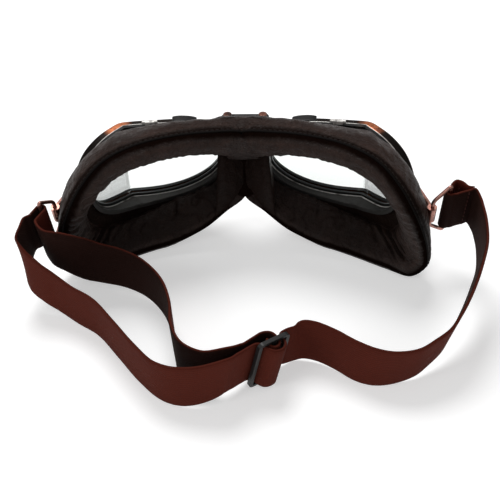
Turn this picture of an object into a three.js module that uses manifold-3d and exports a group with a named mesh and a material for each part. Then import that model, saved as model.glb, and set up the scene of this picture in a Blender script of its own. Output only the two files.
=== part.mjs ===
// Split-lens riding goggles with a padded leather mask, wire strap bails and an elastic strap
// that stands on its edge on the table. Millimetres, +Z up, +Y is the side the wearer looks to.
import * as THREE from "three";
import { mergeVertices, mergeGeometries } from "three/addons/utils/BufferGeometryUtils.js";
import Module from "manifold-3d";

const wasm = await Module();
wasm.setup();

// ---------- Overall placing ----------
const FOOT_CENTRE_X = 3.2; // middle of the footprint in the drawing frame, moved to the origin
const FOOT_CENTRE_Y = -17;
const GAP = 0.3; // air left where two pieces touch

// ---------- Eyepiece plan ----------
const NOSE_X = 14; // where the flat front pane starts
const NOSE_Y = 46;
const FRONT_TURN = -0.12; // plan angle of the front pane, radians
const SIDE_TURN = -0.838; // plan angle of the side pane
const RIDGE_S = 48.9; // distance along the frame from its nose end to the ridge
const RIDGE_HALF_BEND = 1.2; // half the length of the rounded bend
// Opening of the frame, as distance along the plan and height, from nose top round to nose.
const OPENING = [
  [1, 50], [6, 54.6], [17, 57.2], [34, 57.8], [49, 57.6], [61, 56], [69, 51.8], [74, 44.5], [75.5, 37],
  [73, 28.5], [66, 22.5], [55, 20.5], [43, 20.2], [31, 21], [20, 23.5], [10, 28], [3, 33.5],
  [-0.5, 39], [-0.5, 45],
];
const RING_STEPS = 38; // stations round one eyepiece

// ---------- Eyepiece sections: [outward from the opening, forward of the glass] ----------
const RIM_SECTION = [[0, 1.6], [3.4, 1.6], [3.4, -1.2], [5.2, -1.2], [5.2, 2.8], [4.4, 3.4], [0.6, 3.4]];
const GASKET_SECTION = [[-1, -2.6], [3, -2.6], [3, -1.2], [-1, -1.2]];
const CUP_SECTION = [[0.8, -7], [3, -7], [3, -2.9], [0.8, -2.9]];
const CUP_EXTRA = 4; // the cup is deeper behind the ridge
const CUP_EXTRA_SPREAD = 13;
const BAND_SECTION = [[5.6, -5.2], [6.7, -5.2], [6.7, -3.2], [5.6, -3.2]];
const CLAMP_S = [31.5, 36.5]; // the band's tightening clamp, on top of the eyepiece
const CLAMP_OUT = [7, 8.8];
const CLAMP_DEEP = [-5.3, -3.1];
const CLAMP_SCREW_R = 0.8;
const CLAMP_SCREW_OVER = 1.4; // how far the screw stands out at each end
const PANE_HALF = 0.9; // half the thickness of the glass
const PANE_LAP = 2.8; // how far the glass reaches into the rim

// ---------- Mask: seam, eye opening edge, in the same order as OPENING ----------
const MID = GAP / 2; // the halves meet on the middle plane
const SEAM = [
  [MID, 20, 72.5], [15, 18.7, 72.8], [32, 14, 73.5], [50, 6, 73.4], [64, -3, 70.3], [74, -10.5, 61.5],
  [81.5, -14, 49], [87, -11.5, 35], [91, -6.5, 20], [91.5, -2, 9], [85.5, -0.5, 3.3], [72, 2.5, 2.9],
  [54, 10, 2.9], [37, 17, 5], [22, 22, 12.5], [10, 26.5, 21.5],
  [MID, 29, 26.5], [MID, 31, 42], [MID, 27, 60],
];
const EYE_EDGE = [
  [11, 29, 54], [17, 22.5, 58], [30, 17.5, 60.3], [43, 12, 60.8], [55, 7, 60.2], [65, 2.5, 57.4],
  [72.5, -0.5, 51], [76.5, 0.5, 42], [78.5, 5, 32], [78, 13, 21.5], [72.5, 19.5, 15.6], [63, 25.5, 13.8],
  [50, 31, 14.6], [37, 34.5, 18],
  [26, 36, 21.5], [17, 36.8, 26.5], [12, 37.2, 33], [11, 37.2, 40], [10, 35, 48],
];
// Where the outer leather's halves meet over and in front of the nose, for the last three places above.
const NOSE_BRIDGE = [[MID, 31, 28], [MID, 43, 53], [MID, 35, 70.5]];
const PAD_RISE = 5.5; // how far the padding stands out towards the face
const PAD_BACK = 2.2; // padding behind the line from seam to eye edge
const LEATHER = 2; // outer panel thickness
const FLOOR_GAP = 0.1; // lowest point of the mask above the table
const PANEL_FRONT = -1.6; // the panel starts just behind the rim's skirt
const PANEL_LIP = -6.4; // and lies straight on the cup down to here
const PANEL_IN = 3.4; // and lies on the cup from here outward
const PANEL_BULGE = 3;
const PANEL_HEART = 30; // depth behind the glass of the point the panel bulges away from
const CHEEK_SAG = 11; // the mask stands on the full underside of its cheeks
const CHEEK_TOP = 11; // seam height above which there is no sag
const CHEEK_FADE = 8;
const PANEL_CLEAR = 0.8; // air between the panel's edge and the padding
const WEARER = new THREE.Vector3(0, -1, 0.4); // rough direction of the face

// ---------- Bridge ----------
const PIN_X = 9.2;
const PIN_Y = 53.6;
const PIN_R = 1.2;
const BORE_R = 1.27; // vertices of the lug's bore; its flats leave 0.06 mm round the pin
const LINK_HOLE_R = 1.5;
const LINK_END_R = 3.2;
const LINK_TOP_Z = 57.4;
const LINK_LOW_Z = 48.4;
const LINK_T = 2;
const PIN_HEAD_R = 2.2;
const PIN_HEAD_T = 1.3;
const BARREL_R = 2.6;
const BLOCK = [5, 4, 6.4]; // centre spacer between the two links

// ---------- Vent hoods and lug rivets ----------
const HOOD_S = [11.5, 23];
const HOOD_OUT = [5.6, 7.4];
const HOOD_DEEP = [-2.6, 2.6];
const RIVET_R = 1.4;

// ---------- Temple arm and strap bail ----------
const ARM_PIVOT = [91.6, 0.5, 37.5]; // centre of the barrel
const ARM_LEAN = -0.2; // the pivot's top leans towards the wearer, radians
const ARM_ROOT = [86.2, 16.5, 38]; // end of the arm on the frame
const ARM_T = 1.4;
const ARM_TALL = 9;
const ARM_BARREL_R = 2.3;
const WIRE_R = 0.95;
const WIRE_BORE_R = 1.03;
const BAIL_NARROW = 8.5; // half height at the pivot
const BAIL_WIDE = 16.2; // half height at the strap
const BAIL_REACH = 8.6;
const BAIL_CORNER = 2.2;
const BAIL_ANGLE = { left: -1.1, right: 0.4 }; // rest direction about the pivot, from outward towards front

// ---------- Strap ----------
const STRAP_W = 25;
const STRAP_T = 1.5;
const STRAP_Z = 12.8; // height of the centre line where the strap stands on its edge
const EYE_R = WIRE_R + 0.45; // inside radius of a strap loop on the wire
const LOOP_LEG = 5; // straight leg after a turn round a bar
const SEWN_LEG = 7; // sewn double layer
const SEWN_TURN = -0.25; // it leaves the bail bent towards the wearer

// ---------- Slider ----------
const SLIDER = [14.3, -74.5, 15.1]; // centre
const SLIDER_UP = [0.2, -0.02, 0.98]; // along its bars
const SLIDER_RUN = [0.78, 0.62, 0]; // along the strap, before squaring to the bars
const SLIDER_LONG = 17;
const SLIDER_TALL = 28.6;
const SLIDER_T = 2;
const SLIDER_BAR = 2;
const SLIDER_EDGE = 1.5;

// ---------- Colours ----------
const LOOKS = {
  copper: [0xb5603a, 0.35, 1],
  black_metal: [0x151515, 0.4, 0.9],
  steel: [0x9a9a98, 0.3, 1],
  pink_wire: [0xc09080, 0.3, 1],
  glass: [0xdfe6e6, 0.05, 0],
  rubber: [0x101010, 0.7, 0],
  leather: [0x2a1d1a, 0.55, 0],
  elastic: [0x4a201a, 0.8, 0],
};

const group = new THREE.Group();

// ---------- Helpers ----------
const vec = (p) => new THREE.Vector3(p[0], p[1], p[2]);

function signedVolume(geometry) {
  const p = geometry.getAttribute("position");
  const index = geometry.index.array;
  const a = new THREE.Vector3();
  const b = new THREE.Vector3();
  const c = new THREE.Vector3();
  let sum = 0;
  for (let i = 0; i < index.length; i += 3) {
    a.fromBufferAttribute(p, index[i]);
    b.fromBufferAttribute(p, index[i + 1]);
    c.fromBufferAttribute(p, index[i + 2]);
    sum += a.dot(b.cross(c));
  }
  return sum;
}

// Keeps positions only, joins equal vertices and turns the faces outwards.
function closed(geometry) {
  const bare = new THREE.BufferGeometry();
  bare.setAttribute("position", geometry.getAttribute("position").clone());
  bare.setIndex(geometry.index ? geometry.index.clone() : null);
  const joined = mergeVertices(bare, 1e-3);
  const kept = [];
  for (let i = 0; i < joined.index.count; i += 3) {
    const [a, b, c] = [0, 1, 2].map((k) => joined.index.getX(i + k));
    if (a !== b && b !== c && a !== c) kept.push(a, b, c);
  }
  joined.setIndex(kept);
  if (signedVolume(joined) < 0) {
    const index = joined.index.array;
    for (let i = 0; i < index.length; i += 3) {
      const first = index[i];
      index[i] = index[i + 1];
      index[i + 1] = first;
    }
  }
  return joined;
}

function add(name, geometry, look) {
  const made = closed(geometry);
  made.computeVertexNormals();
  const [color, roughness, metalness] = LOOKS[look];
  const material = new THREE.MeshStandardMaterial({ color, roughness, metalness });
  const mesh = new THREE.Mesh(made, material);
  mesh.name = name;
  group.add(mesh);
  return mesh;
}

function solid(geometry) {
  const g = closed(geometry);
  return new wasm.Manifold(
    new wasm.Mesh({
      numProp: 3,
      vertProperties: new Float32Array(g.getAttribute("position").array),
      triVerts: new Uint32Array(g.index.array),
    }),
  );
}

function geometryOf(made) {
  const m = made.getMesh();
  const g = new THREE.BufferGeometry();
  const positions = [];
  for (let i = 0; i < m.numVert; i++) {
    for (let k = 0; k < 3; k++) positions.push(m.vertProperties[i * m.numProp + k]);
  }
  g.setAttribute("position", new THREE.Float32BufferAttribute(positions, 3));
  g.setIndex(Array.from(m.triVerts));
  return g;
}

const join = (...pieces) => geometryOf(pieces.map(solid).reduce((a, b) => a.add(b)));
const cut = (piece, ...tools) => geometryOf(tools.map(solid).reduce((a, b) => a.subtract(b), solid(piece)));

// A box whose vertices are placed by a function of its own three coordinates, each from 0 to 1.
function mappedBox(steps, place) {
  const g = new THREE.BoxGeometry(1, 1, 1, steps[0], steps[1], steps[2]);
  const p = g.getAttribute("position");
  for (let i = 0; i < p.count; i++) {
    const q = place(p.getX(i) + 0.5, p.getY(i) + 0.5, p.getZ(i) + 0.5);
    p.setXYZ(i, q.x, q.y, q.z);
  }
  return g;
}

// A closed ring: place(u, k) gives the point of section corner k at u round the ring.
function mappedRing(steps, corners, place) {
  const g = new THREE.TorusGeometry(2, 1, corners, steps);
  const p = g.getAttribute("position");
  const uv = g.getAttribute("uv");
  for (let i = 0; i < p.count; i++) {
    const u = Math.round(uv.getX(i) * steps) % steps;
    const k = Math.round(uv.getY(i) * corners) % corners;
    const q = place(u / steps, k);
    p.setXYZ(i, q.x, q.y, q.z);
  }
  return g;
}

function cylinder(radius, from, to, sides = 24) {
  const a = vec(from);
  const b = vec(to);
  const g = new THREE.CylinderGeometry(radius, radius, a.distanceTo(b), sides);
  const turn = new THREE.Quaternion().setFromUnitVectors(
    new THREE.Vector3(0, 1, 0),
    b.clone().sub(a).normalize(),
  );
  g.applyQuaternion(turn);
  g.translate((a.x + b.x) / 2, (a.y + b.y) / 2, (a.z + b.z) / 2);
  return g;
}

function box(size, centre) {
  return new THREE.BoxGeometry(size[0], size[1], size[2]).translate(centre[0], centre[1], centre[2]);
}

// ---------- Eyepiece frame of reference ----------
function planAt(s) {
  const start = RIDGE_S - RIDGE_HALF_BEND;
  const end = RIDGE_S + RIDGE_HALF_BEND;
  const straight = Math.min(s, start);
  let x = NOSE_X + straight * Math.cos(FRONT_TURN);
  let y = NOSE_Y + straight * Math.sin(FRONT_TURN);
  let turn = FRONT_TURN;
  if (s > start) {
    const bend = Math.min(s, end) - start;
    const rate = (SIDE_TURN - FRONT_TURN) / (end - start);
    turn = FRONT_TURN + rate * bend;
    x += (Math.sin(turn) - Math.sin(FRONT_TURN)) / rate;
    y -= (Math.cos(turn) - Math.cos(FRONT_TURN)) / rate;
  }
  if (s > end) {
    x += (s - end) * Math.cos(SIDE_TURN);
    y += (s - end) * Math.sin(SIDE_TURN);
  }
  return { x, y, turn };
}

// s along the frame, d forward of the glass, z up; side is 1 for right and -1 for left.
function onFrame(side, s, d, z) {
  const { x, y, turn } = planAt(s);
  return new THREE.Vector3(side * (x - Math.sin(turn) * d), y + Math.cos(turn) * d, z);
}

const openingCurve = new THREE.CatmullRomCurve3(
  OPENING.map(([s, z]) => new THREE.Vector3(s, z, 0)), true,
);
const seamCurve = new THREE.CatmullRomCurve3(SEAM.map(vec), true);
const panelEdge = [...SEAM.slice(0, -NOSE_BRIDGE.length), ...NOSE_BRIDGE];
const panelCurve = new THREE.CatmullRomCurve3(panelEdge.map(vec), true);
const eyeCurve = new THREE.CatmullRomCurve3(EYE_EDGE.map(vec), true);

function outlineAt(u, outward) {
  const p = openingCurve.getPoint(u);
  const t = openingCurve.getTangent(u);
  return { s: p.x - t.y * outward, z: p.y + t.x * outward };
}

// Sections that reach behind the glass as far as the cup follow its deeper part at the ridge.
function ringPart(name, side, section, look, rearDepth = -100) {
  const ring = mappedRing(RING_STEPS, section.length, (u, k) => {
    const { s, z } = outlineAt(u, section[k][0]);
    const near = Math.exp(-Math.pow((s - RIDGE_S) / CUP_EXTRA_SPREAD, 2));
    const extra = section[k][1] <= rearDepth ? CUP_EXTRA * near : 0;
    return onFrame(side, s, section[k][1] - extra, z);
  });
  add(name, ring, look);
}

// ---------- Glass ----------
function pane(name, side, front) {
  const limits = front ? [-9, RIDGE_S - RIDGE_HALF_BEND] : [RIDGE_S + RIDGE_HALF_BEND, 90];
  const shape = new THREE.Shape();
  const points = [];
  for (let i = 0; i < RING_STEPS; i++) {
    const { s, z } = outlineAt(i / RING_STEPS, PANE_LAP);
    points.push(new THREE.Vector2(s, z));
  }
  shape.setFromPoints(points);
  const blank = new THREE.ExtrudeGeometry(shape, { depth: 1, bevelEnabled: false, steps: 1 });
  const window = box([limits[1] - limits[0], 90, 4], [(limits[0] + limits[1]) / 2, 45, 0.5]);
  const cutOut = geometryOf(solid(blank).intersect(solid(window)));
  const p = cutOut.getAttribute("position");
  for (let i = 0; i < p.count; i++) {
    const q = onFrame(side, p.getX(i), (p.getZ(i) - 0.5) * 2 * PANE_HALF, p.getY(i));
    p.setXYZ(i, q.x, q.y, q.z);
  }
  add(name, cutOut, "glass");
}

// ---------- Mask ----------
function seamAt(side, u, curve = seamCurve) {
  const p = curve.getPoint(u);
  p.x = Math.max(p.x, MID);
  p.x *= side;
  return p;
}

function eyeEdgeAt(side, u) {
  const p = eyeCurve.getPoint(u);
  p.x *= side;
  return p;
}

// Unit vector towards the wearer, square to the band between seam and eye edge.
function padOut(side, u) {
  const step = 0.01;
  const along = eyeEdgeAt(side, (u + step) % 1).sub(eyeEdgeAt(side, (u + 1 - step) % 1));
  along.add(seamAt(side, (u + step) % 1)).sub(seamAt(side, (u + 1 - step) % 1));
  const out = along.cross(eyeEdgeAt(side, u).sub(seamAt(side, u))).normalize();
  return out.dot(WEARER) < 0 ? out.negate() : out;
}

const PAD_SHARE = [0.02, 0.04, 0.3, 0.7, 0.97, 1, 0.5];
const PAD_HEIGHT = [0.3, 2.2, PAD_RISE, PAD_RISE * 0.85, 2, 0.2, -PAD_BACK];

function facePad(name, side) {
  const ring = mappedRing(RING_STEPS, PAD_SHARE.length, (u, k) => {
    const p = seamAt(side, u).lerp(eyeEdgeAt(side, u), PAD_SHARE[k]);
    p.addScaledVector(padOut(side, u), PAD_HEIGHT[k]);
    p.x = side * Math.max(side * p.x, MID);
    p.z = Math.max(p.z, 0);
    return p;
  });
  add(name, ring, "leather");
}

// Outer panel: share of the way from the cup to the seam at each row of the section.
const PANEL_ROWS = [0, 0, 0.35, 0.7, 1];

// Unit vector out of the panel, square to its run from the cup to the seam.
function panelOut(side, u, start, end) {
  const step = 0.01;
  const along = seamAt(side, (u + step) % 1, panelCurve).sub(seamAt(side, (u + 1 - step) % 1, panelCurve));
  const out = along.cross(end.clone().sub(start)).normalize();
  const centre = onFrame(side, RIDGE_S * 0.8, -PANEL_HEART, 41);
  return out.dot(start.clone().sub(centre)) < 0 ? out.negate() : out;
}

function outerPanel(name, side) {
  const rows = PANEL_ROWS.length;
  const ring = mappedRing(RING_STEPS, 2 * rows, (u, k) => {
    const inner = k >= rows;
    const row = inner ? 2 * rows - 1 - k : k;
    const frame = outlineAt(u, PANEL_IN + (inner ? 0 : LEATHER));
    const start = onFrame(side, frame.s, row === 0 ? PANEL_FRONT : PANEL_LIP, frame.z);
    const end = seamAt(side, u, panelCurve);
    const share = PANEL_ROWS[row];
    const out = panelOut(side, u, start, end);
    const facing = Math.max(0, -out.dot(padOut(side, u)));
    end.addScaledVector(padOut(side, u), -PANEL_CLEAR - LEATHER * facing);
    const p = start.clone().lerp(end, share);
    p.addScaledVector(out, 4 * share * (1 - share) * PANEL_BULGE - (inner ? share * LEATHER : 0));
    const low = Math.min(1, Math.max(0, (CHEEK_TOP - end.z) / CHEEK_FADE));
    p.z -= 4 * share * (1 - share) * CHEEK_SAG * low * Math.max(0, -out.z);
    p.x = side * Math.max(side * p.x, MID);
    p.z = Math.max(p.z, FLOOR_GAP + (inner ? LEATHER : 0));
    return p;
  });
  add(name, ring, "leather");
}

// ---------- Bridge ----------
function bridgeLink(name, z) {
  const bar = box([2 * PIN_X, 4.6, LINK_T], [0, PIN_Y, z + LINK_T / 2]);
  const ends = [-PIN_X, PIN_X].map((x) => cylinder(LINK_END_R, [x, PIN_Y, z], [x, PIN_Y, z + LINK_T]));
  const holes = [-PIN_X, PIN_X].map((x) =>
    cylinder(LINK_HOLE_R, [x, PIN_Y, z - 1], [x, PIN_Y, z + LINK_T + 1]),
  );
  add(name, cut(join(bar, ...ends), ...holes), "black_metal");
}

function bridgeBlock() {
  const low = LINK_LOW_Z + LINK_T + GAP;
  add("bridge_block", box(BLOCK, [0, PIN_Y, low + BLOCK[2] / 2]), "black_metal");
}

function bridgePin(name, side) {
  const x = side * PIN_X;
  const top = LINK_TOP_Z + LINK_T + GAP;
  const low = LINK_LOW_Z - GAP;
  const shaft = cylinder(PIN_R, [x, PIN_Y, low - 0.6], [x, PIN_Y, top + 0.5]);
  const head = cylinder(PIN_HEAD_R, [x, PIN_Y, top], [x, PIN_Y, top + PIN_HEAD_T]);
  const foot = cylinder(PIN_HEAD_R, [x, PIN_Y, low - 1], [x, PIN_Y, low]);
  add(name, join(shaft, head, foot), "steel");
}

function bridgeLug(name, side) {
  const low = LINK_LOW_Z + LINK_T + GAP;
  const top = LINK_TOP_Z - GAP;
  const x = side * PIN_X;
  const barrel = cylinder(BARREL_R, [x, PIN_Y, low], [x, PIN_Y, top]);
  const plate = mappedBox([2, 1, 1], (a, b, c) =>
    onFrame(side, -3.6 + a * 12, 3.7 + b * 1.4 + 2.6 * Math.max(0, 1 - 2 * a), 51 + c * (5 + 1.2 * a)),
  );
  const bore = cylinder(BORE_R, [x, PIN_Y, low - 1], [x, PIN_Y, top + 1]);
  add(name, cut(join(barrel, plate), bore), "black_metal");
}

function lugRivet(name, side) {
  const g = new THREE.SphereGeometry(RIVET_R, 14, 8, 0, 2 * Math.PI, 0, Math.PI / 2);
  const cap = new THREE.CircleGeometry(RIVET_R, 14).rotateX(Math.PI / 2);
  const p = g.getAttribute("position");
  const base = cap.getAttribute("position");
  const both = mergeGeometries([strip(g, p), strip(cap, base)]);
  const q = both.getAttribute("position");
  for (let i = 0; i < q.count; i++) {
    const at = onFrame(side, 5.4 + q.getX(i), 5.4 + 0.7 * q.getY(i), 54.6 + q.getZ(i));
    q.setXYZ(i, at.x, at.y, at.z);
  }
  add(name, both, "steel");
}

function strip(geometry, positions) {
  const bare = new THREE.BufferGeometry();
  bare.setAttribute("position", positions.clone());
  bare.setIndex(geometry.index.clone());
  return bare;
}

function ventHood(name, side) {
  const hood = mappedBox([8, 2, 2], (a, b, c) => {
    const s = HOOD_S[0] + a * (HOOD_S[1] - HOOD_S[0]);
    const u = openingShareAt(s);
    const round = 1 - 0.35 * Math.pow(Math.abs(2 * a - 1), 3);
    const out = HOOD_OUT[0] + b * (HOOD_OUT[1] - HOOD_OUT[0]) * round;
    const at = outlineAt(u, out);
    return onFrame(side, at.s, HOOD_DEEP[0] + c * (HOOD_DEEP[1] - HOOD_DEEP[0]), at.z);
  });
  add(name, hood, "black_metal");
}

// Share round the opening of a point on its top edge at distance s.
function openingShareAt(s) {
  let low = 0;
  let high = 4 / OPENING.length;
  for (let i = 0; i < 30; i++) {
    const mid = (low + high) / 2;
    if (openingCurve.getPoint(mid).x < s) low = mid;
    else high = mid;
  }
  return low;
}

function bandClamp(name, side) {
  const block = mappedBox([4, 1, 1], (a, b, c) => {
    const s = CLAMP_S[0] + a * (CLAMP_S[1] - CLAMP_S[0]);
    const at = outlineAt(openingShareAt(s), CLAMP_OUT[0] + b * (CLAMP_OUT[1] - CLAMP_OUT[0]));
    return onFrame(side, at.s, CLAMP_DEEP[0] + c * (CLAMP_DEEP[1] - CLAMP_DEEP[0]), at.z);
  });
  const ends = [CLAMP_S[0] - CLAMP_SCREW_OVER, CLAMP_S[1] + CLAMP_SCREW_OVER].map((s) => {
    const at = outlineAt(openingShareAt(s), CLAMP_OUT[1] - 0.5);
    return onFrame(side, at.s, (CLAMP_DEEP[0] + CLAMP_DEEP[1]) / 2, at.z).toArray();
  });
  add(name, join(block, cylinder(CLAMP_SCREW_R, ends[0], ends[1], 16)), "black_metal");
}

// ---------- Temple arm and bail ----------
// Point in the pivot's own frame: along the pivot, out from it at an angle, and square to both.
function atPivot(side, angle, up, out, across = 0) {
  const axis = new THREE.Vector3(0, Math.sin(ARM_LEAN), Math.cos(ARM_LEAN));
  const flat = new THREE.Vector3(side * Math.cos(angle), Math.sin(angle), 0);
  flat.addScaledVector(axis, -flat.dot(axis)).normalize();
  const square = axis.clone().cross(flat);
  const p = new THREE.Vector3(side * ARM_PIVOT[0], ARM_PIVOT[1], ARM_PIVOT[2]);
  return p.addScaledVector(axis, up).addScaledVector(flat, out).addScaledVector(square, across);
}

function templeArm(name, side) {
  const top = atPivot(side, 0, ARM_TALL / 2, 0).toArray();
  const low = atPivot(side, 0, -ARM_TALL / 2, 0).toArray();
  const farTop = atPivot(side, 0, ARM_TALL / 2 + 1, 0).toArray();
  const farLow = atPivot(side, 0, -ARM_TALL / 2 - 1, 0).toArray();
  const plate = mappedBox([1, 1, 1], (a, b, c) => {
    const p = vec(ARM_ROOT);
    p.x *= side;
    p.z += (c - 0.5) * ARM_TALL;
    const end = atPivot(side, 0, (c - 0.5) * ARM_TALL, 0);
    p.lerp(end, a);
    p.x += side * (b - 0.5) * ARM_T;
    return p;
  });
  const arm = join(cylinder(ARM_BARREL_R, low, top), plate);
  add(name, cut(arm, cylinder(WIRE_BORE_R, farLow, farTop)), "black_metal");
}

function bail(name, side, angle) {
  const corners = [
    [-BAIL_NARROW, 0], [BAIL_NARROW, 0], [BAIL_WIDE, BAIL_REACH], [-BAIL_WIDE, BAIL_REACH],
  ].map(([up, out]) => new THREE.Vector3(up, out, 0));
  const path = new THREE.CurvePath();
  corners.forEach((corner, i) => {
    const before = corners[(i + 3) % 4].clone().sub(corner).setLength(BAIL_CORNER).add(corner);
    const after = corners[(i + 1) % 4].clone().sub(corner).setLength(BAIL_CORNER);
    after.add(corner);
    const next = corners[(i + 1) % 4];
    const nextBefore = corner.clone().sub(next).setLength(BAIL_CORNER).add(next);
    path.add(new THREE.QuadraticBezierCurve3(before, corner, after));
    path.add(new THREE.LineCurve3(after, nextBefore));
  });
  const perCorner = 4;
  const stations = [];
  for (let i = 0; i < 4; i++) {
    for (let k = 0; k <= perCorner; k++) {
      const arc = path.curves[2 * i];
      stations.push([arc.getPoint(k / perCorner), arc.getTangent(k / perCorner)]);
    }
  }
  const sides = 12;
  const ring = mappedRing(stations.length, sides, (u, k) => {
    const [p, t] = stations[Math.round(u * stations.length) % stations.length];
    const turn = (2 * Math.PI * k) / sides;
    const up = p.x - t.y * WIRE_R * Math.cos(turn);
    const out = p.y + t.x * WIRE_R * Math.cos(turn);
    return atPivot(side, angle, up, out, WIRE_R * Math.sin(turn));
  });
  add(name, ring, "pink_wire");
}

// ---------- Strap ----------
// A flat band along a centre line; its width follows the across directions.
function band(name, centres, across, steps) {
  const line = new THREE.CatmullRomCurve3(centres.map(vec), false, "centripetal");
  const wide = new THREE.CatmullRomCurve3(across.map(vec), false);
  const ribbon = mappedBox([steps, 1, 1], (a, b, c) => {
    const p = line.getPoint(a);
    const t = line.getTangent(a);
    const w = wide.getPoint(a).normalize();
    const n = t.clone().cross(w).normalize();
    const square = n.clone().cross(t).normalize();
    p.addScaledVector(square, (b - 0.5) * STRAP_W);
    return p.addScaledVector(n, (c - 0.5) * STRAP_T);
  });
  add(name, ribbon, "elastic");
}

// A strap end folded round a bar: a turn and two legs, extruded over the strap's width.
// toWorld(out, side, up) places a point of the fold.
function fold(name, sewn, eye, legLength, toWorld) {
  const outer = eye + STRAP_T;
  const shape = new THREE.Shape();
  const hole = new THREE.Path();
  const close = STRAP_T + 0.05;
  if (sewn) {
    shape.moveTo(legLength + outer, -close);
    shape.lineTo(outer + 1.5, -close);
    shape.quadraticCurveTo(outer * 0.7, -close, outer * Math.cos(-Math.PI / 2), -outer);
    shape.absarc(0, 0, outer, -Math.PI / 2, Math.PI / 2, true);
    shape.quadraticCurveTo(outer * 0.7, close, outer + 1.5, close);
    shape.lineTo(legLength + outer, close);
    hole.absarc(0, 0, eye, 0, (2 * Math.PI * 15) / 16, false);
    shape.holes.push(hole);
  } else {
    shape.moveTo(legLength, -outer);
    shape.absarc(0, 0, outer, -Math.PI / 2, Math.PI / 2, true);
    shape.lineTo(legLength, outer);
    shape.lineTo(legLength, eye);
    shape.absarc(0, 0, eye, Math.PI / 2, -Math.PI / 2, false);
    shape.lineTo(legLength, -eye);
  }
  const blank = new THREE.ExtrudeGeometry(shape, {
    depth: STRAP_W, bevelEnabled: false, curveSegments: 12, steps: 1,
  });
  const p = blank.getAttribute("position");
  for (let i = 0; i < p.count; i++) {
    const q = toWorld(p.getX(i), p.getY(i), p.getZ(i) - STRAP_W / 2);
    p.setXYZ(i, q.x, q.y, q.z);
  }
  add(name, blank, "elastic");
}

// ---------- Slider ----------
const sliderUp = vec(SLIDER_UP).normalize();
const sliderDir = vec(SLIDER_RUN);
sliderDir.addScaledVector(sliderUp, -sliderDir.dot(sliderUp)).normalize();
const sliderOut = sliderDir.clone().cross(sliderUp); // towards the outside of the strap's loop

function atSlider(along, out, up) {
  const p = vec(SLIDER).addScaledVector(sliderDir, along);
  return p.addScaledVector(sliderOut, out).addScaledVector(sliderUp, up);
}

function slider() {
  const shape = new THREE.Shape();
  const half = SLIDER_LONG / 2;
  const tall = SLIDER_TALL / 2;
  const r = 2.5;
  shape.absarc(half - r, -tall + r, r, -Math.PI / 2, 0, false);
  shape.absarc(half - r, tall - r, r, 0, Math.PI / 2, false);
  shape.absarc(-half + r, tall - r, r, Math.PI / 2, Math.PI, false);
  shape.absarc(-half + r, -tall + r, r, Math.PI, 1.5 * Math.PI, false);
  const blank = new THREE.ExtrudeGeometry(shape, {
    depth: SLIDER_T, bevelEnabled: false, curveSegments: 5, steps: 1,
  });
  const slotLong = (SLIDER_LONG - 3 * SLIDER_BAR) / 2;
  const slotMiddle = (SLIDER_BAR + slotLong) / 2;
  const slots = [-slotMiddle, slotMiddle].map((x) =>
    box([slotLong, SLIDER_TALL - 2 * SLIDER_EDGE, 3 * SLIDER_T], [x, 0, SLIDER_T / 2]),
  );
  const plate = cut(blank, ...slots);
  const p = plate.getAttribute("position");
  for (let i = 0; i < p.count; i++) {
    const q = atSlider(p.getX(i), p.getZ(i) - SLIDER_T / 2, p.getY(i));
    p.setXYZ(i, q.x, q.y, q.z);
  }
  add("slider", plate, "black_metal");
}

// ---------- Assembly ----------
for (const [word, side] of [["left", -1], ["right", 1]]) {
  ringPart("lens_rim_" + word, side, RIM_SECTION, "copper");
  ringPart("lens_gasket_" + word, side, GASKET_SECTION, "rubber");
  ringPart("eyecup_" + word, side, CUP_SECTION, "steel", CUP_SECTION[0][1]);
  ringPart("leather_band_" + word, side, BAND_SECTION, "steel");
  pane("front_lens_" + word, side, true);
  pane("side_lens_" + word, side, false);
  facePad("face_pad_" + word, side);
  outerPanel("outer_leather_" + word, side);
  bridgeLug("bridge_lug_" + word, side);
  bridgePin("bridge_pin_" + word, side);
  lugRivet("lug_rivet_" + word, side);
  ventHood("vent_hood_" + word, side);
  bandClamp("band_clamp_" + word, side);
  templeArm("temple_arm_" + word, side);
  bail("bail_" + word, side, BAIL_ANGLE[word]);
}
bridgeLink("bridge_link_top", LINK_TOP_Z);
bridgeLink("bridge_link_low", LINK_LOW_Z);
bridgeBlock();
slider();

// Strap folds round the bails: out is measured on from the bar, away from the pivot.
const foldAt = (side, angle, turn) => (out, across, up) => {
  const c = Math.cos(side * turn);
  const s = Math.sin(side * turn);
  return atPivot(side, angle, up, BAIL_REACH + out * c - across * s, out * s + across * c);
};
const leftFold = foldAt(-1, BAIL_ANGLE.left, 0);
const rightFold = foldAt(1, BAIL_ANGLE.right, SEWN_TURN);
fold("strap_fold_left", false, EYE_R, LOOP_LEG, leftFold);
fold("strap_end_right", true, EYE_R, SEWN_LEG, rightFold);
const UP = [0, 0, 1];
const LEAN = [0, Math.sin(ARM_LEAN), Math.cos(ARM_LEAN)];
const legOff = EYE_R + STRAP_T / 2;
const leftLeg = (out, across) => leftFold(LOOP_LEG + out, across * legOff, 0).toArray();
const rightLeg = (out) => rightFold(SEWN_LEG + EYE_R + STRAP_T + out, 0, 0).toArray();
const route = (points) => points.map(([along, out]) => atSlider(along, out, 0).toArray());

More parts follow.
